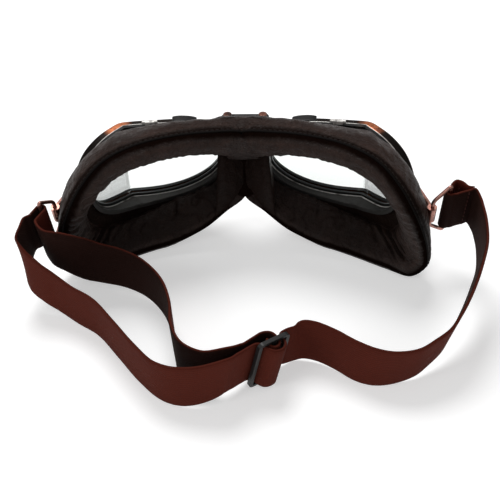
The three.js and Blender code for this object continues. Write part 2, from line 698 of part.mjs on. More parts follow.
const leftOuter = [
  leftLeg(0.5, -1), leftLeg(3, -1.6), [-103, -18.5, 34.5], [-104, -24, 30], [-101, -28.5, 25],
  [-95, -31.5, 20], [-88, -34, 16], [-79, -39, STRAP_Z], [-67.5, -47, STRAP_Z], [-55, -61.6, STRAP_Z],
  [-44, -75, STRAP_Z], [-33.6, -85, STRAP_Z], [-24, -88.8, 13.4], [-14, -89.3, 15.4], ...route([[-22, -1.8], [-17.4, -2.2]]),
];
const leftInner = [
  leftLeg(0.5, 1), leftLeg(2, 1.1), [-92, -20.5, 33.5], [-85, -21, 30.5], [-77.5, -20.5, 26.5],
  [-69.7, -18.8, 21.8], [-58, -18.2, 17.5], [-47.5, -22.2, 14.8], [-37.5, -33, 13.2], [-31.5, -48, STRAP_Z],
  [-29, -62, STRAP_Z], [-24, -74, 13.4], [-14, -81, 15], ...route([[-18.4, -6.6], [-12.8, -5.6]]),
];
const weave = route([
  [-16.4, -2.2], [-11, -2.7], [-7.4, -2.7], [-5.3, -1.1], [-4.2, 2], [-2.6, 4.2], [0, 5],
  [2.6, 4.6], [4.5, 2.7], [5.1, 0], [5.8, -2.2], [8.6, -2.9], [12, -2.6],
]);
const sliderEnd = route([
  [-12, -5.5], [-6, -6.2], [-1, -6.6], [2.4, -4.8], [3.1, -2], [2.6, 0.8], [1, 2.5],
  [-1, 2.5], [-2.5, 0.8], [-2.6, -1.2], [-1.2, -2.6],
]);
const rightRun = [
  ...route([[13, -2.3], [16.5, -2.1]]), [29.5, -61.2, 13.9], [35.5, -62.3, 13.9], [43, -66, 13.4],
  [53.4, -73, 12.8], [61.2, -76, 12.6], [69, -76.3, 12.6], [79, -74.1, 13.8], [86, -69.7, 15.8],
  [92, -65, 18], [96, -60, 21], [100, -54, 24], [104, -46.7, 27], [109, -35, 29.5], [112.5, -25, 32],
  [114, -13, 34.5], [114, -5.5, 35.6], [113.4, 1.2, 36.6], rightLeg(1.8), rightLeg(0.4),
];
const rightWidths = [
  SLIDER_UP, UP, UP, [0, -0.25, 0.96], [0.07, -0.33, 0.94], [0.05, -0.3, 0.95], LEAN, LEAN,
];
const sliderWidths = [SLIDER_UP, SLIDER_UP];
band("strap_left_outer", leftOuter, [LEAN, LEAN, UP, UP, UP, UP, UP, UP, ...sliderWidths], 40);
band("strap_left_inner", leftInner, [LEAN, LEAN, UP, UP, UP, UP, UP, ...sliderWidths], 42);
band("strap_weave", weave, sliderWidths, 44);
band("strap_end_slider", sliderEnd, sliderWidths, 30);
band("strap_right_run", rightRun, rightWidths, 48);

group.position.set(-FOOT_CENTRE_X, -FOOT_CENTRE_Y, 0);
export default group;
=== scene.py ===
"""Looks of the split-lens riding goggles. Shapes are worked out in millimetres in the drawing frame,
where x = 0 is the middle of the mask, and moved to the row frame in metres when a mesh is made."""

import math

import bpy
import bmesh
import numpy as np
from mathutils import Matrix, Vector, noise


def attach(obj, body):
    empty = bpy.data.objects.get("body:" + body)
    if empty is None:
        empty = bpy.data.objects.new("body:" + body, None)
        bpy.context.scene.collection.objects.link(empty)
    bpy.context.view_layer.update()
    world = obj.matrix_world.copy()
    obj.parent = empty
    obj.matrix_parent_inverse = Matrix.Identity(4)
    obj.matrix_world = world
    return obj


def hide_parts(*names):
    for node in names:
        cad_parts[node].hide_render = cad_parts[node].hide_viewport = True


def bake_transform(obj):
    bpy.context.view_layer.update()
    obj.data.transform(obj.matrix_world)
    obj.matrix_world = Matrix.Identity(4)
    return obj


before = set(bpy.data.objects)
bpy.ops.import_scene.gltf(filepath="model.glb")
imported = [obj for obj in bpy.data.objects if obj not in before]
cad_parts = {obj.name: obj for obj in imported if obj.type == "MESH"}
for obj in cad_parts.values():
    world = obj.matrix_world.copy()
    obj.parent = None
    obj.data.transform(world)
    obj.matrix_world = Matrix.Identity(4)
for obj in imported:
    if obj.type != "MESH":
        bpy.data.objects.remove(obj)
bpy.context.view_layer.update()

MM = 0.001
FOOT_CENTRE = np.array([3.2, -17.0, 0.0])  # the row frame's origin, in the drawing frame

# ---------- Dimensions shared with the CAD, in millimetres ----------
NOSE_X, NOSE_Y = 14.0, 46.0  # start of an eyepiece's plan line, by the nose
FRONT_TURN, SIDE_TURN = -0.12, -0.838  # directions of the two panes in plan, in radians
RIDGE_S, RIDGE_HALF_BEND = 48.9, 1.2  # length along the plan line where it turns
OPENING = [  # edge of the opening: length along the plan line, height
    (1, 50), (6, 54.6), (17, 57.2), (34, 57.8), (49, 57.6), (61, 56), (69, 51.8), (74, 44.5), (75.5, 37),
    (73, 28.5), (66, 22.5), (55, 20.5), (43, 20.2), (31, 21), (20, 23.5), (10, 28), (3, 33.5),
    (-0.5, 39), (-0.5, 45),
]
MID = 0.0
SEAM = [  # padding meets outer leather here, from the top middle round the temple to the nose
    (MID, 20.5, 71.4), (15, 18.9, 72.4), (32, 14, 73.5), (50, 6, 73.4), (64, -3, 70.3), (74, -10.5, 61.5),
    (81.5, -14, 49), (87, -11.5, 35), (91, -8, 20), (91.5, -6, 9), (84.5, -6.5, 3.0), (72, 0.0, 2.7),
    (54, 10, 2.9), (37, 17, 4.3), (22, 22, 9.6), (10, 26.5, 18.0),
    (MID, 29, 26.5), (MID, 31, 42), (MID, 27, 60),
]
NOSE_BRIDGE = [  # the outer leather's own way over the nose
    (MID, 31, 28), (MID, 43, 55), (MID, 29.0, 72.6),
]
EYE_EDGE = [  # inner edge of the padding, with the same places as the seam
    (11, 29, 54), (17, 22.5, 58), (30, 17.5, 60.3), (43, 12, 60.8), (55, 7, 60.2), (65, 2.5, 57.4),
    (72.5, -0.5, 51), (76.5, 0.5, 42), (78.5, 5, 32), (78, 13, 20), (72.5, 19.5, 14.0),
    (63, 25.5, 13.3), (50, 31, 15.6),
    (37, 34.5, 20.4), (26, 36, 24.5), (17, 36.8, 29.2), (12, 37.2, 34.5), (11, 37.2, 40), (10, 35, 48),
]
PLACES = len(SEAM)  # a place counts the seam's points, so it runs from 0 to this
CUP_EXTRA, CUP_EXTRA_SPREAD = 4.0, 13.0
PANE_HALF, PANE_LAP = 0.9, 2.8
PANEL_FRONT, PANEL_LIP, PANEL_IN, PANEL_LAP = -1.6, -6.4, 3.4, 2.0
LEATHER = 1.5
CHEEK_SAG, CHEEK_TOP, CHEEK_FADE = 11.0, 11.0, 8.0
ARM_PIVOT = np.array([91.6, 0.5, 37.5])
ARM_LEAN = -0.2
WIRE_R = 0.95
BAIL_NARROW, BAIL_WIDE, BAIL_REACH, BAIL_CORNER = 8.5, 16.2, 8.6, 2.2
BAIL_ANGLE = {"left": -1.1, "right": 0.4}
STRAP_W, STRAP_T, STRAP_Z = 25.0, 1.5, 12.8
EYE_R = WIRE_R + 0.45
LOOP_LEG, SEWN_LEG, SEWN_TURN = 5.0, 7.0, -0.25
SLIDER = np.array([14.3, -74.5, 15.1])
SLIDER_UP = np.array([0.2, -0.02, 0.98])
SLIDER_RUN = np.array([0.78, 0.62, 0.0])
WEARER = np.array([0.0, -1.0, 0.4])


# ---------- Small maths ----------
def unit(v):
    v = np.asarray(v, float)
    return v / max(np.linalg.norm(v), 1e-9)


def clamp(x):
    return min(max(x, 0.0), 1.0)


def smooth(x):
    t = clamp(x)
    return t * t * (3 - 2 * t)


def between(x, start, rise, end, fall):
    """1 within a range and 0 outside it, rising and falling smoothly over the given widths."""
    return smooth((x - start) / rise) * smooth((end - x) / fall)


def bell(x, half):
    return math.exp(-((x / half) ** 2))


def ripple(a, b, seed):
    """Smooth noise from -1 to 1 over two coordinates."""
    return noise.noise(Vector((a, b, seed)))


def to_row(points):
    return (np.asarray(points, float) - FOOT_CENTRE) * MM


def wobble(p, scale, seed=0.0):
    """Smooth noise from -1 to 1 at a point in millimetres, with features about scale wide."""
    q = Vector((p[0] / scale + seed, p[1] / scale - seed, p[2] / scale + 2 * seed))
    return noise.noise(q)


LEAST_GAP = 1e-2


class Curve:
    """A centripetal Catmull-Rom curve through the points, as the CAD draws its curves."""

    def __init__(self, points, closed=False):
        self.p = np.array(points, float)
        self.closed = closed

    def at(self, t):
        p, n = self.p, len(self.p)
        x = (n if self.closed else n - 1) * t
        i = int(math.floor(x))
        w = x - i
        if not self.closed and i >= n - 1:
            i, w = n - 2, 1.0
        if self.closed:
            four = [p[(i + k) % n] for k in (-1, 0, 1, 2)]
        else:
            first = p[i - 1] if i > 0 else 2 * p[0] - p[1]
            last = p[i + 2] if i + 2 < n else 2 * p[-1] - p[-2]
            four = [first, p[i], p[i + 1], last]
        a, b, c, d = four
        g0, g1, g2 = (math.sqrt(np.linalg.norm(end - start)) for start, end in zip(four, four[1:]))
        g1 = g1 if g1 >= LEAST_GAP else 1.0
        g0, g2 = (g if g >= LEAST_GAP else g1 for g in (g0, g2))
        m1 = ((b - a) / g0 - (c - a) / (g0 + g1) + (c - b) / g1) * g1
        m2 = ((c - b) / g1 - (d - b) / (g1 + g2) + (d - c) / g2) * g1
        k2 = -3 * b + 3 * c - 2 * m1 - m2
        k3 = 2 * b - 2 * c + m1 + m2
        return b + m1 * w + k2 * w * w + k3 * w**3

    def tangent(self, t, step=1e-4):
        lo, hi = (t - step, t + step) if self.closed else (max(t - step, 0), min(t + step, 1))
        return unit(self.at(hi % 1 if self.closed else hi) - self.at(lo % 1 if self.closed else lo))


opening_curve = Curve([(s, z, 0) for s, z in OPENING], True)
seam_curve = Curve(SEAM, True)
panel_curve = Curve(SEAM[: -len(NOSE_BRIDGE)] + NOSE_BRIDGE, True)
eye_curve = Curve(EYE_EDGE, True)


# ---------- Eyepiece frame of reference ----------
def plan_at(s):
    start, end = RIDGE_S - RIDGE_HALF_BEND, RIDGE_S + RIDGE_HALF_BEND
    straight = min(s, start)
    x = NOSE_X + straight * math.cos(FRONT_TURN)
    y = NOSE_Y + straight * math.sin(FRONT_TURN)
    turn = FRONT_TURN
    if s > start:
        rate = (SIDE_TURN - FRONT_TURN) / (end - start)
        turn = FRONT_TURN + rate * (min(s, end) - start)
        x += (math.sin(turn) - math.sin(FRONT_TURN)) / rate
        y -= (math.cos(turn) - math.cos(FRONT_TURN)) / rate
    if s > end:
        x += (s - end) * math.cos(SIDE_TURN)
        y += (s - end) * math.sin(SIDE_TURN)
    return x, y, turn


def on_frame(side, s, d, z):
    x, y, turn = plan_at(s)
    return np.array([side * (x - math.sin(turn) * d), y + math.cos(turn) * d, z])


def outline_at(u, outward):
    p, t = opening_curve.at(u % 1), opening_curve.tangent(u % 1)
    return p[0] - t[1] * outward, p[1] + t[0] * outward


def mirrored(p, side):
    return np.array([side * p[0], p[1], p[2]])


# ---------- Mesh helpers ----------
def in_scene(name, data):
    made = bpy.data.objects.new(name, data)
    bpy.context.scene.collection.objects.link(made)
    return made


def new_object(name, points, faces, material, smoothed=True, uv=None, painted_light=None):
    """A mesh object from points in drawing millimetres. uv is per vertex, in metres; the painted light and
    shade that the materials read is per vertex.
    """
    mesh = bpy.data.meshes.new(name)
    mesh.from_pydata(to_row(points).tolist(), [], faces)
    for polygon in mesh.polygons:
        polygon.use_smooth = smoothed
    if uv is not None:
        layer = mesh.uv_layers.new(name="UVMap")
        for loop in mesh.loops:
            layer.data[loop.index].uv = uv[loop.vertex_index]
    if painted_light is not None:
        attribute = mesh.attributes.new("painted_light", "FLOAT", "POINT")
        attribute.data.foreach_set("value", np.asarray(painted_light, np.float32))
    mesh.materials.append(material)
    return in_scene(name, mesh)


def faces_outward(made):
    work = bmesh.new()
    work.from_mesh(made.data)
    bmesh.ops.recalc_face_normals(work, faces=work.faces)
    work.to_mesh(made.data)
    work.free()


def grid_faces(rows, columns, closed_rows, closed_columns, skip=None):
    faces = []
    for i in range(rows if closed_rows else rows - 1):
        for j in range(columns if closed_columns else columns - 1):
            if skip and skip(i, j):
                continue
            a, b = i * columns + j, i * columns + (j + 1) % columns
            c, d = ((i + 1) % rows) * columns + (j + 1) % columns, ((i + 1) % rows) * columns + j
            faces.append((a, b, c, d))
    return faces


def bevelled(made, width, segments=2, angle=35):
    bevel = made.modifiers.new("edges", "BEVEL")
    bevel.width = width * MM
    bevel.segments = segments
    bevel.limit_method = "ANGLE"
    bevel.angle_limit = math.radians(angle)
    bevel.use_clamp_overlap = True
    weighted = made.modifiers.new("shading", "WEIGHTED_NORMAL")
    weighted.keep_sharp = True
    return made


def tube(name, line, radius, material, closed=False, sides=12):
    """A round wire along the points of a line."""
    line = np.asarray(line, float)
    n = len(line)
    points, side_way = [], None
    for i in range(n):
        before = line[(i - 1) % n] if closed or i else line[0]
        after = line[(i + 1) % n] if closed or i < n - 1 else line[-1]
        t = unit(after - before)
        if side_way is None:
            side_way = unit(np.cross(t, [0.3, 0.2, 1.0]))
        side_way = unit(side_way - t * side_way.dot(t))
        up = np.cross(t, side_way)
        for k in range(sides):
            a = 2 * math.pi * k / sides
            points.append(line[i] + radius * (math.cos(a) * side_way + math.sin(a) * up))
    faces = grid_faces(n, sides, closed, True)
    if not closed:
        faces.append(tuple(range(sides)))
        faces.append(tuple(range((n - 1) * sides, n * sides)))
    made = new_object(name, points, faces, material)
    faces_outward(made)
    return made


def finish_piece(made, body, slot, *nodes):
    if nodes:
        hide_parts(*nodes)
    if body:
        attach(made, body)
    return made


# ---------- Materials ----------
class Shade:
    """A node material built step by step."""

    def __init__(self, name):
        self.material = bpy.data.materials.new(name)
        self.material.use_nodes = True
        self.tree = self.material.node_tree
        self.surface = self.tree.nodes["Principled BSDF"]
        self.place = self.node("ShaderNodeTexCoord").outputs["Object"]

    def node(self, kind, inputs=(), **settings):
        made = self.tree.nodes.new(kind)
        for key, value in settings.items():
            setattr(made, key, value)
        for key, value in dict(inputs).items():
            self.feed(made.inputs[key], value)
        return made

    def feed(self, target, value):
        """A socket gets a link from another socket, or a value of its own."""
        if isinstance(value, bpy.types.NodeSocket):
            self.tree.links.new(value, target)
        else:
            target.default_value = value

    def set(self, **values):
        for key, value in values.items():
            self.feed(self.surface.inputs[key.replace("_", " ")], value)

    def noise(self, scale, detail=3.0, rough=0.5):
        inputs = {"Scale": scale, "Detail": detail, "Roughness": rough, "Vector": self.place}
        return self.node("ShaderNodeTexNoise", inputs).outputs["Fac"]

    def math(self, operation, a, b=0.0, clamp=False):
        made = self.node("ShaderNodeMath", {0: a, 1: b}, operation=operation, use_clamp=clamp)
        return made.outputs[0]

    def spread(self, value, low, high, to_low=0.0, to_high=1.0):
        inputs = {"Value": value, "From Min": low, "From Max": high, "To Min": to_low, "To Max": to_high}
        return self.node("ShaderNodeMapRange", inputs).outputs["Result"]

    def mix(self, fac, *colours):
        made = self.node("ShaderNodeMix", {"Factor": fac}, data_type="RGBA")
        for target, value in zip([x for x in made.inputs if x.type == "RGBA"], colours):
            self.feed(target, (*value, 1.0) if isinstance(value, tuple) else value)
        return next(x for x in made.outputs if x.type == "RGBA")

    def bump(self, height, distance, strength=1.0, under=None):
        inputs = {"Height": height, "Distance": distance, "Strength": strength}
        if under is not None:
            inputs["Normal"] = under
        return self.node("ShaderNodeBump", inputs).outputs["Normal"]

    def attribute(self, name):
        return self.node("ShaderNodeAttribute", attribute_name=name).outputs["Fac"]


def leather(name, dark, light, rough, gloss):
    """Grained, creased leather, with painted shade: dark and dull where its per-vertex painted light is 0."""
    m = Shade(name)
    warp = m.node("ShaderNodeTexNoise", {"Scale": 260.0, "Vector": m.place}).outputs["Color"]
    inputs = {"Fac": 0.0016, "Color1": m.place, "Color2": warp}
    bent = m.node("ShaderNodeMixRGB", inputs, blend_type="LINEAR_LIGHT").outputs["Color"]
    inputs = {"Scale": 1150.0, "Vector": bent}
    cells = m.node("ShaderNodeTexVoronoi", inputs, feature="DISTANCE_TO_EDGE").outputs["Distance"]
    grain = m.spread(cells, 0.0, 0.22)
    pores = m.noise(2600.0, 2.0)
    creases = m.spread(m.noise(210.0, 5.0, 0.62), 0.42, 0.62)
    patches = m.noise(55.0, 3.0)
    painted_light = m.attribute("painted_light")
    shade = m.math("ADD", m.math("MULTIPLY", creases, 0.15), m.math("MULTIPLY", patches, 0.6))
    shade = m.math("ADD", shade, m.math("MULTIPLY", grain, 0.2))
    # painted light: the mesh's painted shade and painted highlights scale the leather's colour here
    shade = m.math("MULTIPLY", shade, painted_light, True)
    relief = m.bump(grain, 0.00016, 0.8, m.bump(creases, 0.0006, 0.8))
    # the per-vertex painted light also sets the gloss, so painted shade takes the shine out of folds and
    # grooves
    m.set(
        Base_Color=m.mix(shade, dark, light),
        Roughness=m.spread(m.noise(400.0, 3.0), 0.3, 0.7, rough - 0.07, rough + 0.1),
        Normal=m.bump(pores, 0.00004, 0.5, relief),
        Specular_IOR_Level=m.spread(painted_light, 0.1, 0.7, 0.0, gloss),
    )
    return m.material


def metal(name, colour, worn, rough, amount=0.5, metallic=1.0, dark=None):
    """Plated or painted metal, worn towards a second colour in small patches; given a dark colour, it gets
    painted shade where its per-vertex painted light is 0.
    """
    m = Shade(name)
    wear = m.spread(m.noise(160.0, 6.0, 0.65), amount, amount + 0.12)
    tint = m.mix(wear, colour, worn)
    if dark:
        tint = m.mix(m.attribute("painted_light"), dark, tint)
    roughness = m.spread(m.noise(900.0, 4.0, 0.7), 0.3, 0.7, rough - 0.06, rough + 0.12)
    relief = m.bump(m.noise(700.0, 3.0), 0.00003, 0.4)
    m.set(Base_Color=tint, Roughness=roughness, Normal=relief, Metallic=metallic)
    return m.material


def webbing(name):
    """Woven elastic: lengthwise cords and fine cross ribs, with painted shade: the side whose per-vertex
    painted light is 0 is a darker, shaded copy of the same colour. UV is in metres.
    """
    m = Shade(name)
    uv = m.node("ShaderNodeTexCoord").outputs["UV"]
    along, across = m.node("ShaderNodeSeparateXYZ", {0: uv}).outputs[:2]
    fuzz = m.noise(5200.0, 2.0)
    shift = m.math("MULTIPLY", m.noise(900.0, 2.0), 0.0004)
    rib = m.math("SINE", m.math("MULTIPLY", m.math("ADD", along, shift), 2 * math.pi / 0.00075))
    cord = m.math("SINE", m.math("MULTIPLY", m.math("ADD", across, shift), 2 * math.pi / 0.00125))
    weave = m.math("ADD", m.math("MULTIPLY", rib, cord), m.math("MULTIPLY", cord, 0.7))
    height = m.math("ADD", m.spread(weave, -1.7, 1.7), m.math("MULTIPLY", fuzz, 0.5))
    bright = m.math("ADD", m.spread(height, 0.2, 1.3, 0.45, 1.0), m.math("MULTIPLY", m.noise(120.0), 0.2))
    # the right side is the lit copy of the colour, the other side its painted-shade copy
    right = m.mix(bright, (0.008, 0.0015, 0.0011), (0.092, 0.0170, 0.0098))
    shaded_face = m.mix(bright, (0.003, 0.0015, 0.0012), (0.020, 0.007, 0.005))
    m.set(Base_Color=m.mix(m.attribute("painted_light"), shaded_face, right), Normal=m.bump(height, 0.00022, 0.75))
    m.set(Roughness=0.85, Specular_IOR_Level=0.06)
    m.set(Sheen_Weight=0.02, Sheen_Roughness=0.5, Sheen_Tint=(0.55, 0.25, 0.18, 1))
    return m.material


def clear_glass(name):
    """Thin clear glass: it is seen through straight, with a reflection that grows towards its edge."""
    m = Shade(name)
    clear = m.node("ShaderNodeBsdfTransparent", {"Color": (0.955, 0.972, 0.965, 1)})
    gloss = m.node("ShaderNodeBsdfGlossy", {"Roughness": 0.03})
    fresnel = m.node("ShaderNodeFresnel", {"IOR": 1.42})
    share = m.math("MULTIPLY", fresnel.outputs[0], 0.55)
    both = m.node("ShaderNodeMixShader", {0: share, 1: clear.outputs[0], 2: gloss.outputs[0]})
    out = next(n for n in m.tree.nodes if n.type == "OUTPUT_MATERIAL")
    m.feed(out.inputs["Surface"], both.outputs[0])
    m.tree.nodes.remove(m.surface)
    return m.material


def plain(name, colour, rough, spec=0.5, bump=0.0, scale=900.0):
    m = Shade(name)
    m.set(Base_Color=(*colour, 1), Roughness=rough, Specular_IOR_Level=spec)
    if bump:
        m.set(Normal=m.bump(m.noise(scale, 3.0), bump, 0.6))
    return m.material


LOOK = {
    "pad": leather("pad_leather", (0.0042, 0.0020, 0.0015), (0.043, 0.0215, 0.0157), 0.42, 0.19),
    "panel": leather("outer_leather", (0.0052, 0.0026, 0.0019), (0.040, 0.0200, 0.0145), 0.42, 0.12),
    # the copper's last colour is painted shade, for the rim's rear and skirt; the rim is copper all round
    "copper": metal("copper", (0.60, 0.20, 0.09), (0.30, 0.10, 0.055), 0.3, 0.5, 1.0, (0.022, 0.017, 0.015)),
    "black": metal("black_metal", (0.018, 0.017, 0.017), (0.10, 0.085, 0.075), 0.33, 0.6, 0.7),
    "slider": metal("slider_black", (0.013, 0.013, 0.013), (0.05, 0.047, 0.044), 0.42, 0.62, 0.4),
    "cup": metal("cup_metal", (0.036, 0.034, 0.032), (0.028, 0.025, 0.023), 0.5, 0.5, 0.6),
    # real metal edges, pale and little metallic so they show as bright lines under diffuse light: a painted
    # highlight
    "bead": metal("bead_highlight_metal", (0.62, 0.60, 0.57), (0.12, 0.11, 0.10), 0.3, 0.52, 0.35),
    "wire": metal("wire", (0.42, 0.21, 0.17), (0.10, 0.05, 0.04), 0.28, 0.5),
    "pin": metal("pin_copper", (0.20, 0.085, 0.06), (0.05, 0.03, 0.026), 0.3, 0.5),
    "rubber": plain("gasket_rubber", (0.008, 0.008, 0.008), 0.32, 0.5, 0.00004),
    "glass": clear_glass("lens_glass"),
    "strap": webbing("strap_elastic"),
    # near-black: painted shadow of the seam groove, on the turned edge that fills it
    "welt_shadow": plain("welt_shadow", (0.0035, 0.0024, 0.0021), 0.8, 0.1, 0.00006, 1500.0),
    "thread": plain("thread", (0.016, 0.011, 0.010), 0.7, 0.2, 0.00006, 3000.0),
    "strap_thread": plain("strap_thread", (0.05, 0.013, 0.010), 0.75, 0.2, 0.00006, 3000.0),
}

SIDES = (("left", -1), ("right", 1))


# ---------- Metal rings and glass ----------
# Sections of the rings: outward from the opening's edge, forward of the plan line
RIM = [(0, 1.6), (3.4, 1.6), (3.4, -1.2), (5.2, -1.2), (5.2, 2.8), (4.4, 3.4), (0.6, 3.4)]
GASKET = [(-1, -2.6), (3, -2.6), (3, -1.2), (-1, -1.2)]
CUP_BACK = -7  # the cup's rear edge
CUP = [(0.8, CUP_BACK), (3, CUP_BACK), (3, -2.9), (0.8, -2.9)]
LINING = [(-0.3, 1.3), (0.25, 1.3), (0.25, 3.55), (-0.3, 3.55)]
BAND = [(5.6, -5.2), (6.7, -5.2), (6.7, -3.2), (5.6, -3.2)]
RING_STEPS = 228
COPPER_CORNER = (3.6, 0.3, 4.75, 0.4)  # places where the rim's skirt is lit, so it gets no painted shade and shows its copper
SKIRT = 4.8  # the rim is skirt outside this
COPPER_FRONT, COPPER_FADE = 1.0, 1.5  # the rim's painted shade gives way to its copper forward of this
RINGS = [  # name, section, look, slot, CAD node, bevel
    ("rim", RIM, "copper", "copper", "lens_rim", 0.35),
    ("gasket", GASKET, "rubber", "gasket_rubber", "lens_gasket", 0.3),
    ("rim_lining", LINING, "black", "gasket_rubber", None, 0.22),
    ("cup", CUP, "cup", "cup_metal", "eyecup", 0.22),
    ("band", BAND, "black", "black_metal", "leather_band", 0.22),
]
BEADS = [  # name, outward, forward, radius, look, slot, follows the cup's rear edge
    ("cup_bead", 0.62, -2.9, 0.3, "bead", "cup_metal", False),
    ("cup_lip", 0.85, -6.9, 0.34, "cup", "cup_metal", True),
    ("band_edge", 6.7, -3.1, 0.24, "bead", "black_metal", False),
]


def extra_depth(s):
    """The cup's rear edge is set deeper near the ridge of the glass."""
    return CUP_EXTRA * bell(s - RIDGE_S, CUP_EXTRA_SPREAD)


def ring_part(word, side, name, section, look, slot, node, edge):
    points, tones = [], []
    for i in range(RING_STEPS):
        u = i / RING_STEPS
        corner = between(u * PLACES, *COPPER_CORNER)
        for outward, forward in section:
            front = smooth((forward - COPPER_FRONT) / COPPER_FADE)
            # painted shade: the rim is dark behind its front and on its skirt, except at the lit corner
            tones.append(corner if outward > SKIRT else front)
            s, z = outline_at(u, outward)
            extra = extra_depth(s) if forward <= CUP_BACK else 0.0
            points.append(on_frame(side, s, forward - extra, z))
    faces = grid_faces(RING_STEPS, len(section), True, True)
    made = new_object(f"{name}_{word}", points, faces, LOOK[look], painted_light=tones)
    faces_outward(made)
    bevelled(made, edge)
    nodes = [f"{node}_{word}"] if node else []
    return finish_piece(made, word + "_eyepiece", slot, *nodes)


def ring_wire(word, side, name, outward, forward, radius, look, slot, deep):
    """A round bead that follows the eyepiece's outline."""
    line = []
    for i in range(RING_STEPS):
        s, z = outline_at(i / RING_STEPS, outward)
        line.append(on_frame(side, s, forward - (extra_depth(s) if deep else 0), z))
    made = tube(f"{name}_{word}", line, radius, LOOK[look], True, 8)
    return finish_piece(made, word + "_eyepiece", slot)


PANE_STEPS = 160
RIDGE_GAP, RIDGE_NEAR = 0.06, 3.0
UPPER = 45.0  # heights above this are on the upper side of the opening


def pane(word, side, front, name, node):
    """One flat pane of the split lens, mitred against its neighbour at the ridge."""
    half_bend = (FRONT_TURN - SIDE_TURN) / 2
    radius = RIDGE_HALF_BEND / half_bend
    reach = radius * math.tan(half_bend) - RIDGE_GAP
    base = RIDGE_S - RIDGE_HALF_BEND if front else RIDGE_S + RIDGE_HALF_BEND
    x0, y0, turn = plan_at(base)
    outline = [outline_at(i / PANE_STEPS, PANE_LAP) for i in range(PANE_STEPS)]
    kept = [(s, z) for s, z in outline if (s < base if front else s > base)]
    by_ridge = [z for s, z in outline if abs(s - base) < RIDGE_NEAR]
    ends = [(None, max(by_ridge)), (None, min(by_ridge))]  # the two corners on the ridge
    if front:  # the kept run starts on the nose side at the top and comes back along the bottom
        start = max(i for i, (s, z) in enumerate(kept) if z > UPPER and s > base - RIDGE_NEAR)
        kept = kept[start + 1 :] + kept[: start + 1]
    else:
        ends.reverse()
    outline = kept + ends
    points = []
    for d in (-PANE_HALF, PANE_HALF):
        for s, z in outline:
            if s is None:
                along = (reach + d * math.tan(half_bend)) * (1 if front else -1)
            else:
                along = s - base
            x = x0 + along * math.cos(turn) - math.sin(turn) * d
            y = y0 + along * math.sin(turn) + math.cos(turn) * d
            points.append((side * x, y, z))
    n = len(outline)
    faces = [tuple(range(n)), tuple(range(2 * n - 1, n - 1, -1))]
    faces += [(i, (i + 1) % n, n + (i + 1) % n, n + i) for i in range(n)]
    made = new_object(f"{name}_{word}", points, faces, LOOK["glass"], False)
    faces_outward(made)
    return finish_piece(made, word + "_eyepiece", "lens_glass", f"{node}_{word}")


for word, side in SIDES:
    for ring in RINGS:
        ring_part(word, side, *ring)
    for bead in BEADS:
        ring_wire(word, side, *bead)
    pane(word, side, True, "front_pane", "front_lens")
    pane(word, side, False, "side_pane", "side_lens")


# ---------- Small hardware: bevelled copies of the CAD pieces ----------
def detailed_copy(node, name, look, slot, body, width, segments=2):
    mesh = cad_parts[node].data.copy()
    work = bmesh.new()
    work.from_mesh(mesh)
    bmesh.ops.remove_doubles(work, verts=work.verts, dist=1e-6)
    bmesh.ops.dissolve_limit(work, angle_limit=math.radians(2), verts=work.verts, edges=work.edges)
    work.to_mesh(mesh)
    work.free()
    mesh.materials.clear()
    mesh.materials.append(LOOK[look])
    for polygon in mesh.polygons:
        polygon.use_smooth = True
    made = in_scene(name, mesh)
    bevelled(made, width, segments, 28)
    return finish_piece(made, body, slot, node)


EYE_HARDWARE = [  # CAD node, name, look, slot, bevel
    ("bridge_lug_", "lug_", "black", "black_metal", 0.22),
    ("bridge_pin_", "pin_", "pin", "pin_copper", 0.3),
    ("lug_rivet_", "rivet_", "pin", "black_metal", 0.1),
    ("vent_hood_", "hood_", "black", "black_metal", 0.35),
    ("band_clamp_", "clamp_", "bead", "black_metal", 0.15),
    ("temple_arm_", "arm_", "wire", "wire", 0.2),
]
for word, side in SIDES:
    for node, name, look, slot, bevel in EYE_HARDWARE:
        body = "root" if name == "pin_" else word + "_eyepiece"
        detailed_copy(node + word, name + word, look, slot, body, bevel)
for name, bevel in (("link_top", 0.3), ("link_low", 0.3), ("block", 0.5)):
    detailed_copy("bridge_" + name, name, "black", "black_metal", "root", bevel)
detailed_copy("slider", "slider_plate", "slider", "slider_black", "slider_body", 0.55, 3)


# ---------- Bails ----------
def at_pivot(side, angle, up, out, across=0.0):
    axis = np.array([0, math.sin(ARM_LEAN), math.cos(ARM_LEAN)])
    flat = np.array([side * math.cos(angle), math.sin(angle), 0])
    flat = unit(flat - axis * flat.dot(axis))
    square = np.cross(axis, flat)
    pivot = mirrored(ARM_PIVOT, side)
    return pivot + axis * up + flat * out + square * across


def bail(word, side):
    corners = [(-BAIL_NARROW, 0), (BAIL_NARROW, 0), (BAIL_WIDE, BAIL_REACH), (-BAIL_WIDE, BAIL_REACH)]
    corners = np.array(corners)
    line = []
    for i, corner in enumerate(corners):
        following = corners[(i + 1) % 4]
        before = corner + unit(corners[i - 1] - corner) * BAIL_CORNER
        after = corner + unit(following - corner) * BAIL_CORNER
        for k in range(9):
            t = k / 8
            line.append((1 - t) ** 2 * before + 2 * t * (1 - t) * corner + t * t * after)
        beyond = following + unit(corner - following) * BAIL_CORNER
        for k in range(1, 6):
            line.append(after + (beyond - after) * k / 6)
    placed = [at_pivot(side, BAIL_ANGLE[word], up, out) for up, out in line]
    made = tube("bail_wire_" + word, placed, WIRE_R, LOOK["wire"], True, 16)
    return finish_piece(made, word + "_bail", "wire", "bail_" + word)


for word, side in SIDES:
    bail(word, side)


